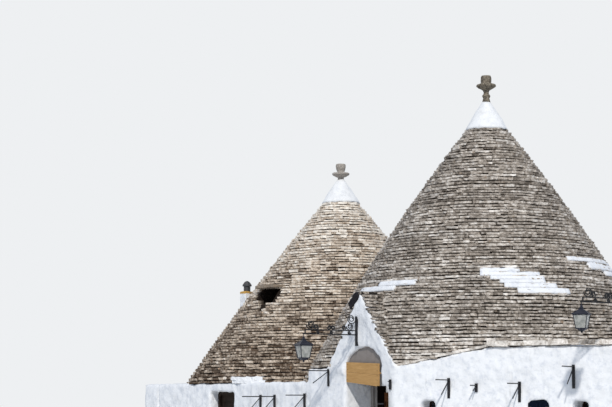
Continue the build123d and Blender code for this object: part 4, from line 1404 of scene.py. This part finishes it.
CAPS = (
    Cap("big", 0.0, (0.432, 7.12), (0.085, 7.69), (
        (0.0, 0.0), (0.085, 0.0), (0.072, 0.045), (0.060, 0.092), (0.078, 0.102), (0.082, 0.126),
        (0.076, 0.146), (0.055, 0.162), (0.052, 0.205), (0.066, 0.238), (0.092, 0.262), (0.164, 0.292),
        (0.196, 0.318), (0.200, 0.340), (0.192, 0.358), (0.128, 0.380), (0.100, 0.392), (0.106, 0.42),
        (0.108, 0.45), (0.108, 0.49), (0.104, 0.52), (0.094, 0.545), (0.0, 0.545)),
        DARK_FINIAL, "dark_finial_stone", 3.0),
    Cap("middle", MIDDLE_X, (0.425, 6.11), (0.075, 6.64), (
        (0.0, 0.0), (0.075, 0.0), (0.064, 0.040), (0.070, 0.050), (0.120, 0.070), (0.178, 0.098),
        (0.194, 0.118), (0.194, 0.142), (0.178, 0.156), (0.095, 0.162), (0.084, 0.178), (0.090, 0.205),
        (0.102, 0.24), (0.110, 0.275), (0.112, 0.30), (0.110, 0.33), (0.104, 0.35), (0.090, 0.36),
        (0.0, 0.36)), PALE_FINIAL, "pale_finial_stone", 8.0),
)


@dataclass
class RoofFittings:
    """Rough stones of the left cone's opening and of the gable's tip, and the chimney's cowl hoop."""

    tip_low: Point = (-0.19, 0.0, -0.02)      # the tip stone before it is tilted
    tip_high: Point = (0.15, 0.26, 0.12)
    tip_seat: Point = (GABLE_X - 0.13, FACADE_Y - 0.045, GABLE_PEAK - 0.08)
    tip_tilt: float = math.radians(-40.0)
    chimney: Pair = (-6.84, -1.457)
    chimney_top: float = 4.15
    hoop: float = 0.13            # radius of the cowl's hoop
    wire: float = 0.009
    hoop_foot: float = -0.06      # heights over the chimney's top
    hoop_middle: float = 0.1

    def rough_stone(self, low: Point, high: Point,
                    shift: float) -> BMesh:
        """Split stone between two corners, with wavering faces and broken edges.

        Args:
            low: Lowest corner.
            high: Highest corner.
            shift: Start of the noise.

        Returns:
            Its shape.
        """
        mesh = bmesh.new()
        block(mesh, low, high)
        bmesh.ops.subdivide_edges(mesh, edges=mesh.edges[:], cuts=5, use_grid_fill=True)
        rumple(mesh, [(0.12, 0.02), (0.04, 0.009)], shift)
        soften(mesh, 0.006, 50.0, 1)
        return mesh

    def build(self) -> None:
        """Make the opening's slab, the gable's tip stone and the hoop over the cowl."""
        low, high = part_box("vent_slab")
        slab = self.rough_stone(tuple(low), tuple(high), 2.0)
        piece = finished("vent_slab_stone", slab, VENT_STONE, smooth=False)
        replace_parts(piece, "vent_slab")
        tip = self.rough_stone(self.tip_low, self.tip_high, 5.0)
        tip.transform(Matrix.Translation(self.tip_seat) @ Matrix.Rotation(self.tip_tilt, 4, "Y"))
        finished("gable_tip_stone", tip, TIP_STONE, smooth=False)
        x, y = self.chimney
        hoop = bmesh.new()
        start = Matrix.Translation((self.hoop, 0.0, 0.0)) @ Matrix.Rotation(math.pi / 2, 4, "X")
        bmesh.ops.create_circle(hoop, segments=8, radius=self.wire, matrix=start)
        bmesh.ops.rotate(hoop, verts=hoop.verts, cent=(0.0, 0.0, 0.0),
                         matrix=Matrix.Rotation(math.pi / 2, 3, "X"))
        bmesh.ops.spin(hoop, geom=hoop.verts[:] + hoop.edges[:], cent=(0.0, 0.0, 0.0),
                       axis=(0.0, -1.0, 0.0), angle=math.pi, steps=24)
        bmesh.ops.recalc_face_normals(hoop, faces=hoop.faces)
        foot, middle = self.chimney_top + self.hoop_foot, self.chimney_top + self.hoop_middle
        bmesh.ops.translate(hoop, verts=hoop.verts, vec=(x, y, middle))
        for side in (-self.hoop, self.hoop):
            rod(hoop, Vector((x + side, y, foot)), Vector((x + side, y, middle)), self.wire)
        finished("cowl_hoop", hoop, COWL_IRON)


@dataclass
class ArchBoard:
    """The board across the arch: two sawn planks on a batten, nailed at the ends."""

    left: float = -0.328
    right: float = 0.722
    top: Pair = (2.418, 2.376)
    foot: Pair = (2.040, 1.960)
    step: float = 0.014           # the lower plank's right end drops by this
    face: float = FACADE_Y + 0.012
    thick: float = 0.028
    gap: float = 0.001            # half the gap between the planks
    batten: Pair = (-0.343, 0.819)
    batten_side: float = 0.024
    nail: float = 0.007           # radius of a nail's head
    nails_in: Pair = (0.05, 0.045)            # distance of the nails from the board's ends
    nails_up: tuple[float, ...] = (0.12, 0.38, 0.62, 0.88)
    nails_drop: float = 0.03      # the right-hand nails sit this much lower

    def plank(self, mesh: BMesh, upper: Pair, lower: Pair) -> None:
        """Add one plank from its left and right heights above and below.

        Args:
            mesh: Shape that gets the plank.
            upper: Heights of its upper edge, left and right.
            lower: Heights of its lower edge, left and right.
        """
        points = block(mesh, (self.left, self.face, 0.0), (self.right, self.face + self.thick, 1.0))
        for point in points:
            side = 0 if point.co.x < (self.left + self.right) / 2 else 1
            point.co.z = upper[side] if point.co.z > 0.5 else lower[side]

    def build(self) -> None:
        """Make the planks with their batten, and the nails."""
        middle = [(t + f) / 2 for t, f in zip(self.top, self.foot)]
        mesh = bmesh.new()
        self.plank(mesh, self.top, (middle[0] + self.gap, middle[1] + self.gap))
        self.plank(mesh, (middle[0] - self.gap, middle[1] - self.gap),
                   (self.foot[0], self.foot[1] - self.step))
        batten_z = sum(self.top + self.foot) / 4
        back = self.face + self.thick
        block(mesh, (self.batten[0], back, batten_z - self.batten_side / 2),
              (self.batten[1], back + self.batten_side, batten_z + self.batten_side / 2))
        soften(mesh, 0.003)
        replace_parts(finished("board_planks", mesh, BOARD_WOOD, smooth=False), "hanging_board")
        nails = bmesh.new()
        for x, drop in ((self.left + self.nails_in[0], 0.0),
                        (self.right - self.nails_in[1], self.nails_drop)):
            for share in self.nails_up:
                z = self.foot[0] + (self.top[0] - self.foot[0]) * share - drop
                knob(nails, Matrix.Translation((x, self.face, z)), self.nail, 10, 6)
        finished("board_nails", nails, IRON)


@dataclass
class Lunette:
    """Plastered panel that fills the arch's head behind the board, nearly flush with the wall."""

    middle: float = 0.238
    half: float = 0.60
    spring: float = 2.41
    rise: float = 0.295
    low: float = 2.33
    face: float = FACADE_Y + 0.075
    thick: float = 0.03

    def build(self) -> None:
        """Make the panel from an arc and two lower corners."""
        arc = [(math.cos(math.radians(a)), math.sin(math.radians(a))) for a in range(0, 181, 9)]
        outline = [(c * self.half, self.spring + s * self.rise) for c, s in arc]
        outline += [(-self.half, self.low), (self.half, self.low)]
        mesh = bmesh.new()
        plate(mesh, [(self.middle + x, z) for x, z in outline], self.face, self.thick)
        bmesh.ops.recalc_face_normals(mesh, faces=mesh.faces)
        finished("arch_lunette", mesh, LUNETTE_PLASTER, smooth=False)


@dataclass
class DoorLeaf:
    """Mouldings of one leaf, worked out from its CAD box; they turn with it."""

    node: str
    finish: Planks
    slot: str
    rail: float = 0.13            # width of the rails and stiles
    lock_share: float = 0.46      # height of the lock rail, as a share of the leaf
    field_depth: float = 0.012
    bevel: float = 0.03           # distance of the raised field from the rails
    moulding: float = 0.012       # width of the outer moulding
    step: float = 0.014           # distance of the inner moulding from the rails

    def build(self) -> None:
        """Make the raised fields and the mouldings round them, on the street side."""
        low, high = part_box(self.node)
        middle = low[2] + (high[2] - low[2]) * self.lock_share
        mesh = bmesh.new()
        back = low[1] + self.field_depth + 0.002
        for foot, head in ((low[2] + self.rail, middle - self.rail / 2),
                           (middle + self.rail / 2, high[2] - self.rail)):
            block(mesh, (low[0] + self.rail + self.bevel, low[1] + 0.003, foot + self.bevel),
                  (high[0] - self.rail - self.bevel, back, head - self.bevel))
            for inset in (0.0, self.step):
                edge = self.moulding - inset / 3
                front = low[1] + 0.001 + inset / 5
                x0, x1 = low[0] + self.rail + inset, high[0] - self.rail - inset
                z0, z1 = foot + inset, head - inset
                for (xa, za), (xb, zb) in (((x0, z0), (x1, z0 + edge)), ((x0, z1 - edge), (x1, z1)),
                                           ((x0, z0 + edge), (x0 + edge, z1 - edge)),
                                           ((x1 - edge, z0 + edge), (x1, z1 - edge))):
                    block(mesh, (xa, front, za), (xb, back, zb))
        soften(mesh, 0.003)
        finished(self.node + "_mouldings", mesh, self.finish, self.node, smooth=False)


@dataclass
class FoldedShutter:
    """Worn edges and iron straps, with their bolts, of the shutter that is folded back on the pier."""

    left: float = 0.819
    width: float = 0.228
    top: float = 1.96
    leaf: float = 0.018           # thickness of one leaf, folded
    leaves: int = 5
    edge: float = 0.0062          # half width of a worn edge
    foot: float = 0.05            # room below the worn edges
    head: float = 0.125           # and above them
    strap_heights: Point = (0.33, 0.98, 1.63)
    strap_half: float = 0.014
    strap: float = 0.004

    def build(self) -> None:
        """Make the bare wooden edges on the right and the iron straps on the front leaf."""
        edge = bmesh.new()
        right = self.left + self.width
        for number in range(self.leaves):
            y = FACADE_Y - (number + 0.5) * self.leaf
            block(edge, (right - 0.001, y - self.edge, self.foot),
                  (right + 0.003, y + self.edge, self.top - self.head))
        soften(edge, 0.001, segments=1)
        finished("shutter_worn_edges", edge, RUSTY_EDGE, smooth=False)
        straps = bmesh.new()
        front = FACADE_Y - self.leaves * self.leaf
        for height in self.strap_heights:
            block(straps, (self.left + 0.01, front - self.strap, height - self.strap_half),
                  (right - 0.03, front + 0.001, height + self.strap_half))
            for x in (self.left + 0.03, right - 0.06):
                knob(straps, Matrix.Translation((x, front - self.strap, height)), 0.006, 8, 5)
        soften(straps, 0.0015, 40.0, 1)
        finished("shutter_straps", straps, IRON, smooth=False)


@dataclass
class WindowWoodwork:
    """Bars in the sashes, and battens and hinges of the closed shutters."""

    windows: tuple[Point, ...] = ((0.690, 0.290, 0.400), (2.787, 0.385, 0.040),
                                                       (3.566, 0.300, 0.560))
    sill: float = 1.13
    top: float = 1.69
    shuttered: int = 1
    bar: float = 0.018            # width of a bar
    sash: float = 0.04            # width of the sash round the bars

    def place(self, along: float) -> Matrix:
        """Matrix of a window: x along the wall, y inward, z up."""
        return Matrix.Translation(turned(along, 0.0)) @ Matrix.Rotation(TURN, 4, "Z")

    def height(self, share: float) -> float:
        """Height at a share of the window, from 0 at the sill to 1 at the top."""
        return self.sill + (self.top - self.sill) * share

    def build(self) -> None:
        """Make the bars, the shutter battens and their ironwork."""
        bars = bmesh.new()
        for along, width, depth in self.windows:
            spot = self.place(along)
            side, rim = self.bar / 2, self.sash
            block(bars, (-side, depth + 0.01, self.sill + rim), (side, depth + 0.04, self.top - rim), spot)
            for share in (0.36, 0.68):
                z = self.height(share)
                block(bars, (rim - width / 2, depth + 0.012, z - side),
                      (width / 2 - rim, depth + 0.038, z + side), spot)
        soften(bars, 0.003, segments=1)
        finished("window_bars", bars, DARK_WOOD, smooth=False)
        along, width, depth = self.windows[self.shuttered]
        spot = self.place(along)
        face = depth - 0.028
        battens = bmesh.new()
        iron = bmesh.new()
        for side in (-1, 1):
            near, far = side * 0.012, side * (width / 2 - 0.008)
            x0, x1 = min(near, far), max(near, far)
            for z in (self.height(share) for share in (0.14, 0.5, 0.86)):
                block(battens, (x0, face - 0.010, z - 0.032), (x1, face + 0.001, z + 0.032), spot)
            for z in (self.height(share) for share in (0.2, 0.8)):
                block(iron, (far - 0.055 if side > 0 else far, face - 0.014, z - 0.011),
                      (far if side > 0 else far + 0.055, face - 0.009, z + 0.011), spot)
        soften(battens, 0.003, segments=1)
        finished("shutter_battens", battens, NAVY_PAINT, smooth=False)
        block(iron, (-0.012, face - 0.018, self.sill + 0.27), (0.05, face - 0.009, self.sill + 0.285), spot)
        soften(iron, 0.0015, segments=1)
        finished("shutter_hinges", iron, IRON, smooth=False)


@dataclass
class Lantern:
    """Four-sided street lantern that hangs from the end of its arm."""

    arm_end: Vector               # where it hangs
    turn: float                   # degrees
    hang: float = 0.205           # from the arm to the eave
    eave: float = 0.140           # half width of the roof
    roof: float = 0.100
    neck: float = 0.020
    head: float = 0.122           # half width of the glass at its top
    foot: float = 0.084           # and at its foot
    glass: float = 0.246
    base: float = 0.045
    bar: float = 0.0085
    pane: float = 0.003           # thickness of the glass

    def frame(self) -> Matrix:
        """Matrix from the lantern's own frame, with its eave at height 0, to the house."""
        return (Matrix.Translation(self.arm_end - Vector((0.0, 0.0, self.hang)))
                @ Matrix.Rotation(math.radians(self.turn), 4, "Z"))

    def hopper(self, mesh: BMesh, low: Pair, high: Pair,
               capped: bool = True) -> list[bmesh.types.BMFace]:
        """Add a four-sided taper between two half widths, each with its height.

        Args:
            mesh: Shape that gets the taper.
            low: Half width and height of its lower end.
            high: Those of its upper end.
            capped: Whether its ends are closed.

        Returns:
            Its faces.
        """
        corner = math.sqrt(2.0)
        spot = Matrix.Translation((0.0, 0.0, (low[1] + high[1]) / 2)) @ Matrix.Rotation(math.pi / 4, 4, "Z")
        made = bmesh.ops.create_cone(mesh, cap_ends=capped, segments=4, radius1=low[0] * corner,
                                     radius2=high[0] * corner, depth=high[1] - low[1],
                                     matrix=self.frame() @ spot)
        return list({face for vertex in made["verts"] for face in vertex.link_faces})

    def square(self, mesh: BMesh, half: float, height: float, radius: float) -> None:
        """Add a square of rods.

        Args:
            mesh: Shape that gets the square.
            half: Half its width.
            height: Its height over the eave.
            radius: Radius of the rods.
        """
        frame = self.frame()
        points = [frame @ Vector((x * half, y * half, height)) for x, y in SQUARE]
        for a, b in zip(points, points[1:] + points[:1]):
            rod(mesh, a, b, radius, 6)

    def cage(self, mesh: BMesh) -> None:
        """Add the roof, the posts, the rails, the base, the knobs and the hanger.

        Args:
            mesh: Shape that gets them.
        """
        frame = self.frame()
        block(mesh, (-self.eave, -self.eave, -0.012), (self.eave, self.eave, 0.0), frame)
        waist, bend = self.eave * 0.46, self.roof * 0.55
        self.hopper(mesh, (self.eave, 0.0), (waist, bend))
        self.hopper(mesh, (waist, bend), (self.neck, self.roof))
        self.hopper(mesh, (self.neck * 1.6, self.roof), (self.neck * 1.2, self.roof + 0.022))
        for x, y in SQUARE:
            rod(mesh, frame @ Vector((x * self.eave, y * self.eave, 0.0)),
                frame @ Vector((x * waist, y * waist, bend)), 0.005, 6)
            rod(mesh, frame @ Vector((x * self.head, y * self.head, -0.008)),
                frame @ Vector((x * self.foot, y * self.foot, -self.glass)), self.bar, 4)
        for half, height, radius in ((self.head, -0.014, self.bar), (self.foot, -self.glass, self.bar),
                                     (self.eave - 0.003, -0.006, 0.007)):
            self.square(mesh, half, height, radius)
        self.hopper(mesh, (0.028, -self.glass - self.base), (self.foot + 0.006, -self.glass))
        for radius, height in ((0.022, self.roof + 0.035), (0.020, -self.glass - self.base - 0.012)):
            knob(mesh, frame @ Matrix.Translation((0.0, 0.0, height)), radius, 14, 9)
        rod(mesh, frame @ Vector((0.0, 0.0, self.roof)), self.arm_end, 0.0065, 8)

    def panes(self, mesh: BMesh) -> None:
        """Add the four panes, 3 mm thick.

        Args:
            mesh: Shape that gets them.
        """
        faces = self.hopper(mesh, (self.foot - self.pane, -self.glass + 0.006),
                            (self.head - self.pane, -0.018), capped=False)
        bmesh.ops.recalc_face_normals(mesh, faces=faces)
        bmesh.ops.solidify(mesh, geom=faces, thickness=self.pane)


@dataclass
class ScrollBracket:
    """Forged bracket: wall bar, arm and rail, with scrolls bent from flat bar."""

    wall: Vector                  # on the wall's face, at the height of the arm
    reach: float = 1.238
    bar: float = 0.011            # half thickness of arm and rail
    rail: Pair = (1.19, 0.078)    # its length and its height over the arm
    strap: Pair = (0.016, 0.013)  # width and thickness of the scrolls' flat bar
    shrink: float = 0.74          # each half turn is smaller than the one before by this
    scrolls: tuple[tuple[float, float, int], ...] = (    # radius, distance from the wall and side
        (0.070, 0.186, -1), (0.046, 0.306, 1), (0.044, 0.560, 1), (0.044, 0.652, -1), (0.052, 0.938, 1),
        (0.084, 1.080, -1))
    top_scroll: Pair = (0.088, 0.30)          # radius and height of the scroll on the wall
    low_scrolls: Point = (0.19, 0.60, 0.90)   # distances of the scrolls under the rail
    low_radius: float = 0.030
    rings: tuple[float, ...] = (0.13, 0.25, 0.43, 0.50, 0.72, 0.84, 1.00)
    ring: float = 0.012           # half width of a collar
    wall_bar: Pair = (-0.21, 0.35)            # its foot and its top over the arm
    proud: float = 0.045          # the wall bar stands out this far, clear of the plaster's lumps
    bolts: Point = (-0.18, 0.05, 0.32)

    def scroll(self, mesh: BMesh, out: float, height: float, radius: float, side: int) -> None:
        """Bend a flat bar in half turns that shrink; it starts on one side and goes down first.

        Args:
            mesh: Shape that gets the scroll.
            out: Distance of its centre from the wall.
            height: Height of its centre over the arm.
            radius: Radius of its first half turn.
            side: 1 where the outer end lies towards the wall, else -1.
        """
        wide, thick = self.strap
        centre = self.wall + Vector((0.0, -out, height))
        start = centre + Vector((0.0, side * radius, 0.0))
        section = Matrix.Translation(start) @ Matrix.Diagonal((wide, thick, 1.0, 1.0))
        ring = bmesh.ops.create_grid(mesh, x_segments=1, y_segments=1, size=0.5, matrix=section)
        geom = list({item for v in ring["verts"] for item in (v, *v.link_edges, *v.link_faces)})
        half_turn = -side * math.pi
        for _ in range(4):
            done = bmesh.ops.spin(mesh, geom=geom, cent=centre, axis=(1.0, 0.0, 0.0), angle=half_turn,
                                  steps=12, use_duplicate=False)
            geom = done["geom_last"]
            end = centre - Vector((0.0, side * radius, 0.0))
            radius *= self.shrink
            side = -side
            centre = end + Vector((0.0, -side * radius, 0.0))

    def build_into(self, mesh: BMesh) -> None:
        """Add the bars, the scrolls, the collars and the bolts.

        Args:
            mesh: Shape that gets them.
        """
        place = Matrix.Translation(self.wall)
        bar = self.bar
        low, high = self.wall_bar
        block(mesh, (-bar * 2, -self.proud, low), (bar * 2, 0.0, high), place)
        block(mesh, (-bar, -self.reach, -bar), (bar, 0.0, bar), place)
        length, up = self.rail
        block(mesh, (-bar * 0.8, -length, up - bar * 0.8), (bar * 0.8, 0.0, up + bar * 0.8), place)
        block(mesh, (-bar * 0.8, -length - bar, bar), (bar * 0.8, -length + bar, up), place)
        for out in self.rings:
            block(mesh, (-self.ring, -out - 0.008, up - self.ring), (self.ring, -out + 0.008, up + 0.014),
                  place)
        radius, height = self.top_scroll
        self.scroll(mesh, self.proud + radius, height, radius, 1)
        for radius, out, side in self.scrolls:
            self.scroll(mesh, out, up + bar + radius, radius, side)
        for out in self.low_scrolls:
            self.scroll(mesh, out, up / 2, self.low_radius, 1)
        for height in self.bolts:
            knob(mesh, Matrix.Translation(self.wall + Vector((0.0, -self.proud, height))), 0.010)
        rod(mesh, self.wall + Vector((0.0, -self.reach + 0.002, 0.0)),
            self.wall + Vector((0.0, -self.reach - 0.004, 0.0)), 0.014, 10)


@dataclass
class StreetLanterns:
    """Both lanterns with their brackets."""

    walls: tuple[Vector, ...] = (Vector((0.066, FACADE_Y, 2.925)), Vector((5.2405, -1.05, 3.35)))
    turns: tuple[float, ...] = (-6.8, 34.8)
    hung_in: float = 0.014        # the hanger's distance from the arm's end

    def build(self) -> None:
        """Make the brackets, the cages and the panes; each takes the place of its CAD node."""
        brackets, cages, panes = bmesh.new(), bmesh.new(), bmesh.new()
        for wall, turn in zip(self.walls, self.turns):
            bracket = ScrollBracket(wall)
            bracket.build_into(brackets)
            lantern = Lantern(wall + Vector((0.0, -bracket.reach + self.hung_in, 0.0)), turn)
            lantern.cage(cages)
            lantern.panes(panes)
        bmesh.ops.recalc_face_normals(brackets, faces=brackets.faces)
        for name, mesh, finish, slot, node in (
                ("scroll_brackets", brackets, IRON, "wrought_iron", "lantern_brackets"),
                ("lantern_cages", cages, LANTERN_IRON, "wrought_iron", "lantern_frames"),
                ("lantern_panes", panes, LAMP_GLASS, "frosted_glass", "lantern_glass")):
            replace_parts(finished(name, mesh, finish, smooth=False), node)


@dataclass
class Lighting:
    """Sun from behind the camera's right, a pale sky all round, and the pale floor."""

    to_sun: Point = (0.646, -0.446, 0.619)
    sun_colour: Point = (1.0, 0.965, 0.91)
    sun_strength: float = 2.25
    sun_width: float = math.radians(2.5)
    sky_colour: str = "cbdaf2"
    sky_strength: float = 0.66
    backdrop: str = "eef0f2"
    floor_colour: str = "e4e4e2"
    floor_radius: float = 70.0

    def build(self) -> None:
        """Make the sun, the sky and the floor."""
        self.hang_sun()
        self.spread_sky()
        self.lay_floor()

    def hang_sun(self) -> None:
        """Make the sun lamp."""
        sun = bpy.data.lights.new("sun", "SUN")
        sun.energy = self.sun_strength
        sun.angle = self.sun_width
        sun.color = self.sun_colour
        lamp = bpy.data.objects.new("sun", sun)
        lamp.rotation_euler = Vector(self.to_sun).to_track_quat("Z", "Y").to_euler()
        bpy.context.scene.collection.objects.link(lamp)

    def spread_sky(self) -> None:
        """Make the sky: soft light on the house, and a pale backdrop for the eye, metal and glass."""
        world = bpy.data.worlds.new("sky")
        world.use_nodes = True
        tree = world.node_tree
        tree.nodes.clear()
        rays = add_node(tree, "LightPath").outputs
        seen = rays["Is Camera Ray"]
        for ray in ("Is Glossy Ray", "Is Transmission Ray"):
            seen = add_node(tree, "Math", {0: seen, 1: rays[ray]}, operation="MAXIMUM").outputs[0]
        soft = add_node(tree, "Background", {"Color": linear(self.sky_colour), "Strength": self.sky_strength})
        pale = add_node(tree, "Background", {"Color": linear(self.backdrop), "Strength": 1.0})
        both = add_node(tree, "MixShader", {0: seen, 1: soft.outputs[0], 2: pale.outputs[0]})
        add_node(tree, "OutputWorld", {"Surface": both.outputs[0]})
        bpy.context.scene.world = world

    def lay_floor(self) -> None:
        """Make the round, pale floor."""
        mesh = bmesh.new()
        bmesh.ops.create_circle(mesh, cap_ends=True, radius=self.floor_radius, segments=96)
        data = bpy.data.meshes.new("floor")
        mesh.to_mesh(data)
        mesh.free()
        floor = bpy.data.objects.new("floor", data)
        bpy.context.scene.collection.objects.link(floor)
        material = bpy.data.materials.new("floor")
        material.use_nodes = True
        tree = material.node_tree
        feed(tree, tree.nodes["Principled BSDF"], {"Base Color": linear(self.floor_colour), "Roughness": 0.9})
        data.materials.append(material)
        floor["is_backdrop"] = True


@dataclass
class Viewpoint:
    """The photograph's viewpoint: 36 m away, eye height, long lens, tilted up."""

    place: Point = (28.006, -22.914, 1.7)
    yaw: float = math.radians(56.5)
    pitch: float = math.radians(6.23)
    sensor: float = 36.0
    focal_over_width: float = 1800.0 / 612.0

    def build(self) -> None:
        """Make the camera and use it."""
        camera = bpy.data.cameras.new("camera")
        camera.sensor_width = self.sensor
        camera.lens = self.sensor * self.focal_over_width
        camera.clip_end = 500.0
        holder = bpy.data.objects.new("camera", camera)
        holder.location = self.place
        holder.rotation_euler = (math.pi / 2 + self.pitch, 0.0, self.yaw)
        bpy.context.scene.collection.objects.link(holder)
        bpy.context.scene.camera = holder


STREET_WALLS = ("middle_front_wall_left", "middle_door_lintel", "middle_front_wall_right",
                "shared_wall_front", "entrance_wall_left", "entrance_wall_right", "window_wall_left",
                "window_wall_right", "gable_wall", "impost_ledge")
OTHER_WALLS = ("left_party_wall", "right_party_wall", "middle_back_wall", "big_back_wall",
               "shared_wall_back", "passage_arch")
NODE_FINISHES: tuple[tuple[Finish, tuple[str, ...]], ...] = (
    (TERRACE, ("big_corner_slabs", "middle_corner_slabs")),
    (DOME_STONE, ("big_dome", "middle_dome")),
    (FLOOR_STONE, ("big_floor", "middle_floor", "door_sills")),
    (GREY_PAINT, ("entrance_door", "entrance_door_frame")),
    (DARK_WOOD, ("middle_door", "middle_door_frame", "window_frames")),
    (IRON, ("wire_brackets", "door_pintles", "entrance_door_ironwork", "middle_door_ironwork")),
    (GREY_PLASTER, ("arch_panel",)),
    (BLACK_PAINT, ("folding_shutter",)),
    (NAVY_PAINT, ("window_shutters",)),
    (PANE_GLASS, ("window_panes",)),
    (COWL_IRON, ("chimney_cowl",)),
)
BIG_CONE_LIME = (
    (-105.0, -80.0, 3.77, 3.87), (-91.0, -70.0, 3.86, 3.96),
    (-42.7, -26.0, 4.08, 4.15), (-42.7, -17.5, 4.00, 4.08), (-38.5, -16.0, 3.93, 4.00),
    (-34.8, -16.0, 3.86, 3.93), (-33.0, -11.5, 3.77, 3.86), (-28.0, -6.5, 3.66, 3.77),
    (0.0, 60.0, 4.33, 4.41), (12.0, 60.0, 4.18, 4.33), (24.0, 60.0, 4.08, 4.18),
)


def build_roofs(nodes: dict[str, Object]) -> None:
    """Lay both cones and the gable's slopes, and put the caps, finials and fittings on them.

    Args:
        nodes: CAD nodes by name.
    """
    big = DrystoneCone("big_cone_slabs", "grey_roof_stone", GREY_STONE, 11, parts=3)
    # the left cone's foot_tone and top_tone paint shade towards its foot and light towards its top
    middle = MiddleCone("middle_cone_slabs", "warm_roof_stone", WARM_STONE, 23, spread=0.13, axis_x=MIDDLE_X,
                        foot=(3.48, 2.05), top=(0.425, 6.11), bulge=0.06, ledge=-0.034, neighbour=big,
                        foot_tone=0.20, top_tone=0.70, patches=(Patch(-80.0, -62.0, 2.0, 2.2),),
                        faces=(WallFace.STREET, WallFace.BACK, WallFace.LEFT))
    for cone, node in ((big, "big_roof"), (middle, "middle_roof")):
        RubbleCore(node, cone, cone.slot).build(nodes)
        cone.build()
    LimewashStrips("limewashed_rows", big, BIG_CONE_LIME).build()
    slopes = GableRoof("gable_slabs", "grey_roof_stone", GREY_STONE, 37, depth=0.09, proud=0.0, parts=1,
                       cone=big).build()
    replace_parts(slopes[0], "gable_coping")
    EaveSlabs("eave_slabs", "grey_roof_stone", GREY_STONE, 53, course=0.12, length=0.42, proud=0.0,
              parts=1).build()
    for cap in CAPS:
        cap.plaster()
    for cap in CAPS:
        cap.crown()
    RoofFittings().build()
    PlasteredMasonry("chimney_shaft", ("chimney",), "limewash", CHIMNEY_WASH, 0.012,
                     lumps=((0.12, 0.014), (0.04, 0.006)), shift=4.0).build(nodes)


def main() -> None:
    """Load the frame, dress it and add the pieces."""
    logging.basicConfig(level=logging.INFO, format="%(message)s")
    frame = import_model()
    nodes = frame["nodes"]
    bpy.context.scene.view_settings.view_transform = "Standard"
    Viewpoint().build()
    Lighting().build()
    for finish, names in NODE_FINISHES:
        for name in names:
            dress_node(nodes[name], finish)
    build_roofs(nodes)
    StreetWalls("street_walls", STREET_WALLS, "limewash", LIMEWASH, 0.038).build(nodes)
    PlasteredMasonry("side_and_back_walls", OTHER_WALLS, "limewash", LIMEWASH, 0.075, shift=9.0).build(nodes)
    ArchBoard().build()
    Lunette().build()
    DoorLeaf("entrance_door", GREY_PAINT, "grey_painted_wood").build()
    DoorLeaf("middle_door", DARK_WOOD, "dark_door_wood").build()
    FoldedShutter().build()
    WindowWoodwork().build()
    StreetLanterns().build()


if __name__ == "__main__":
    main()
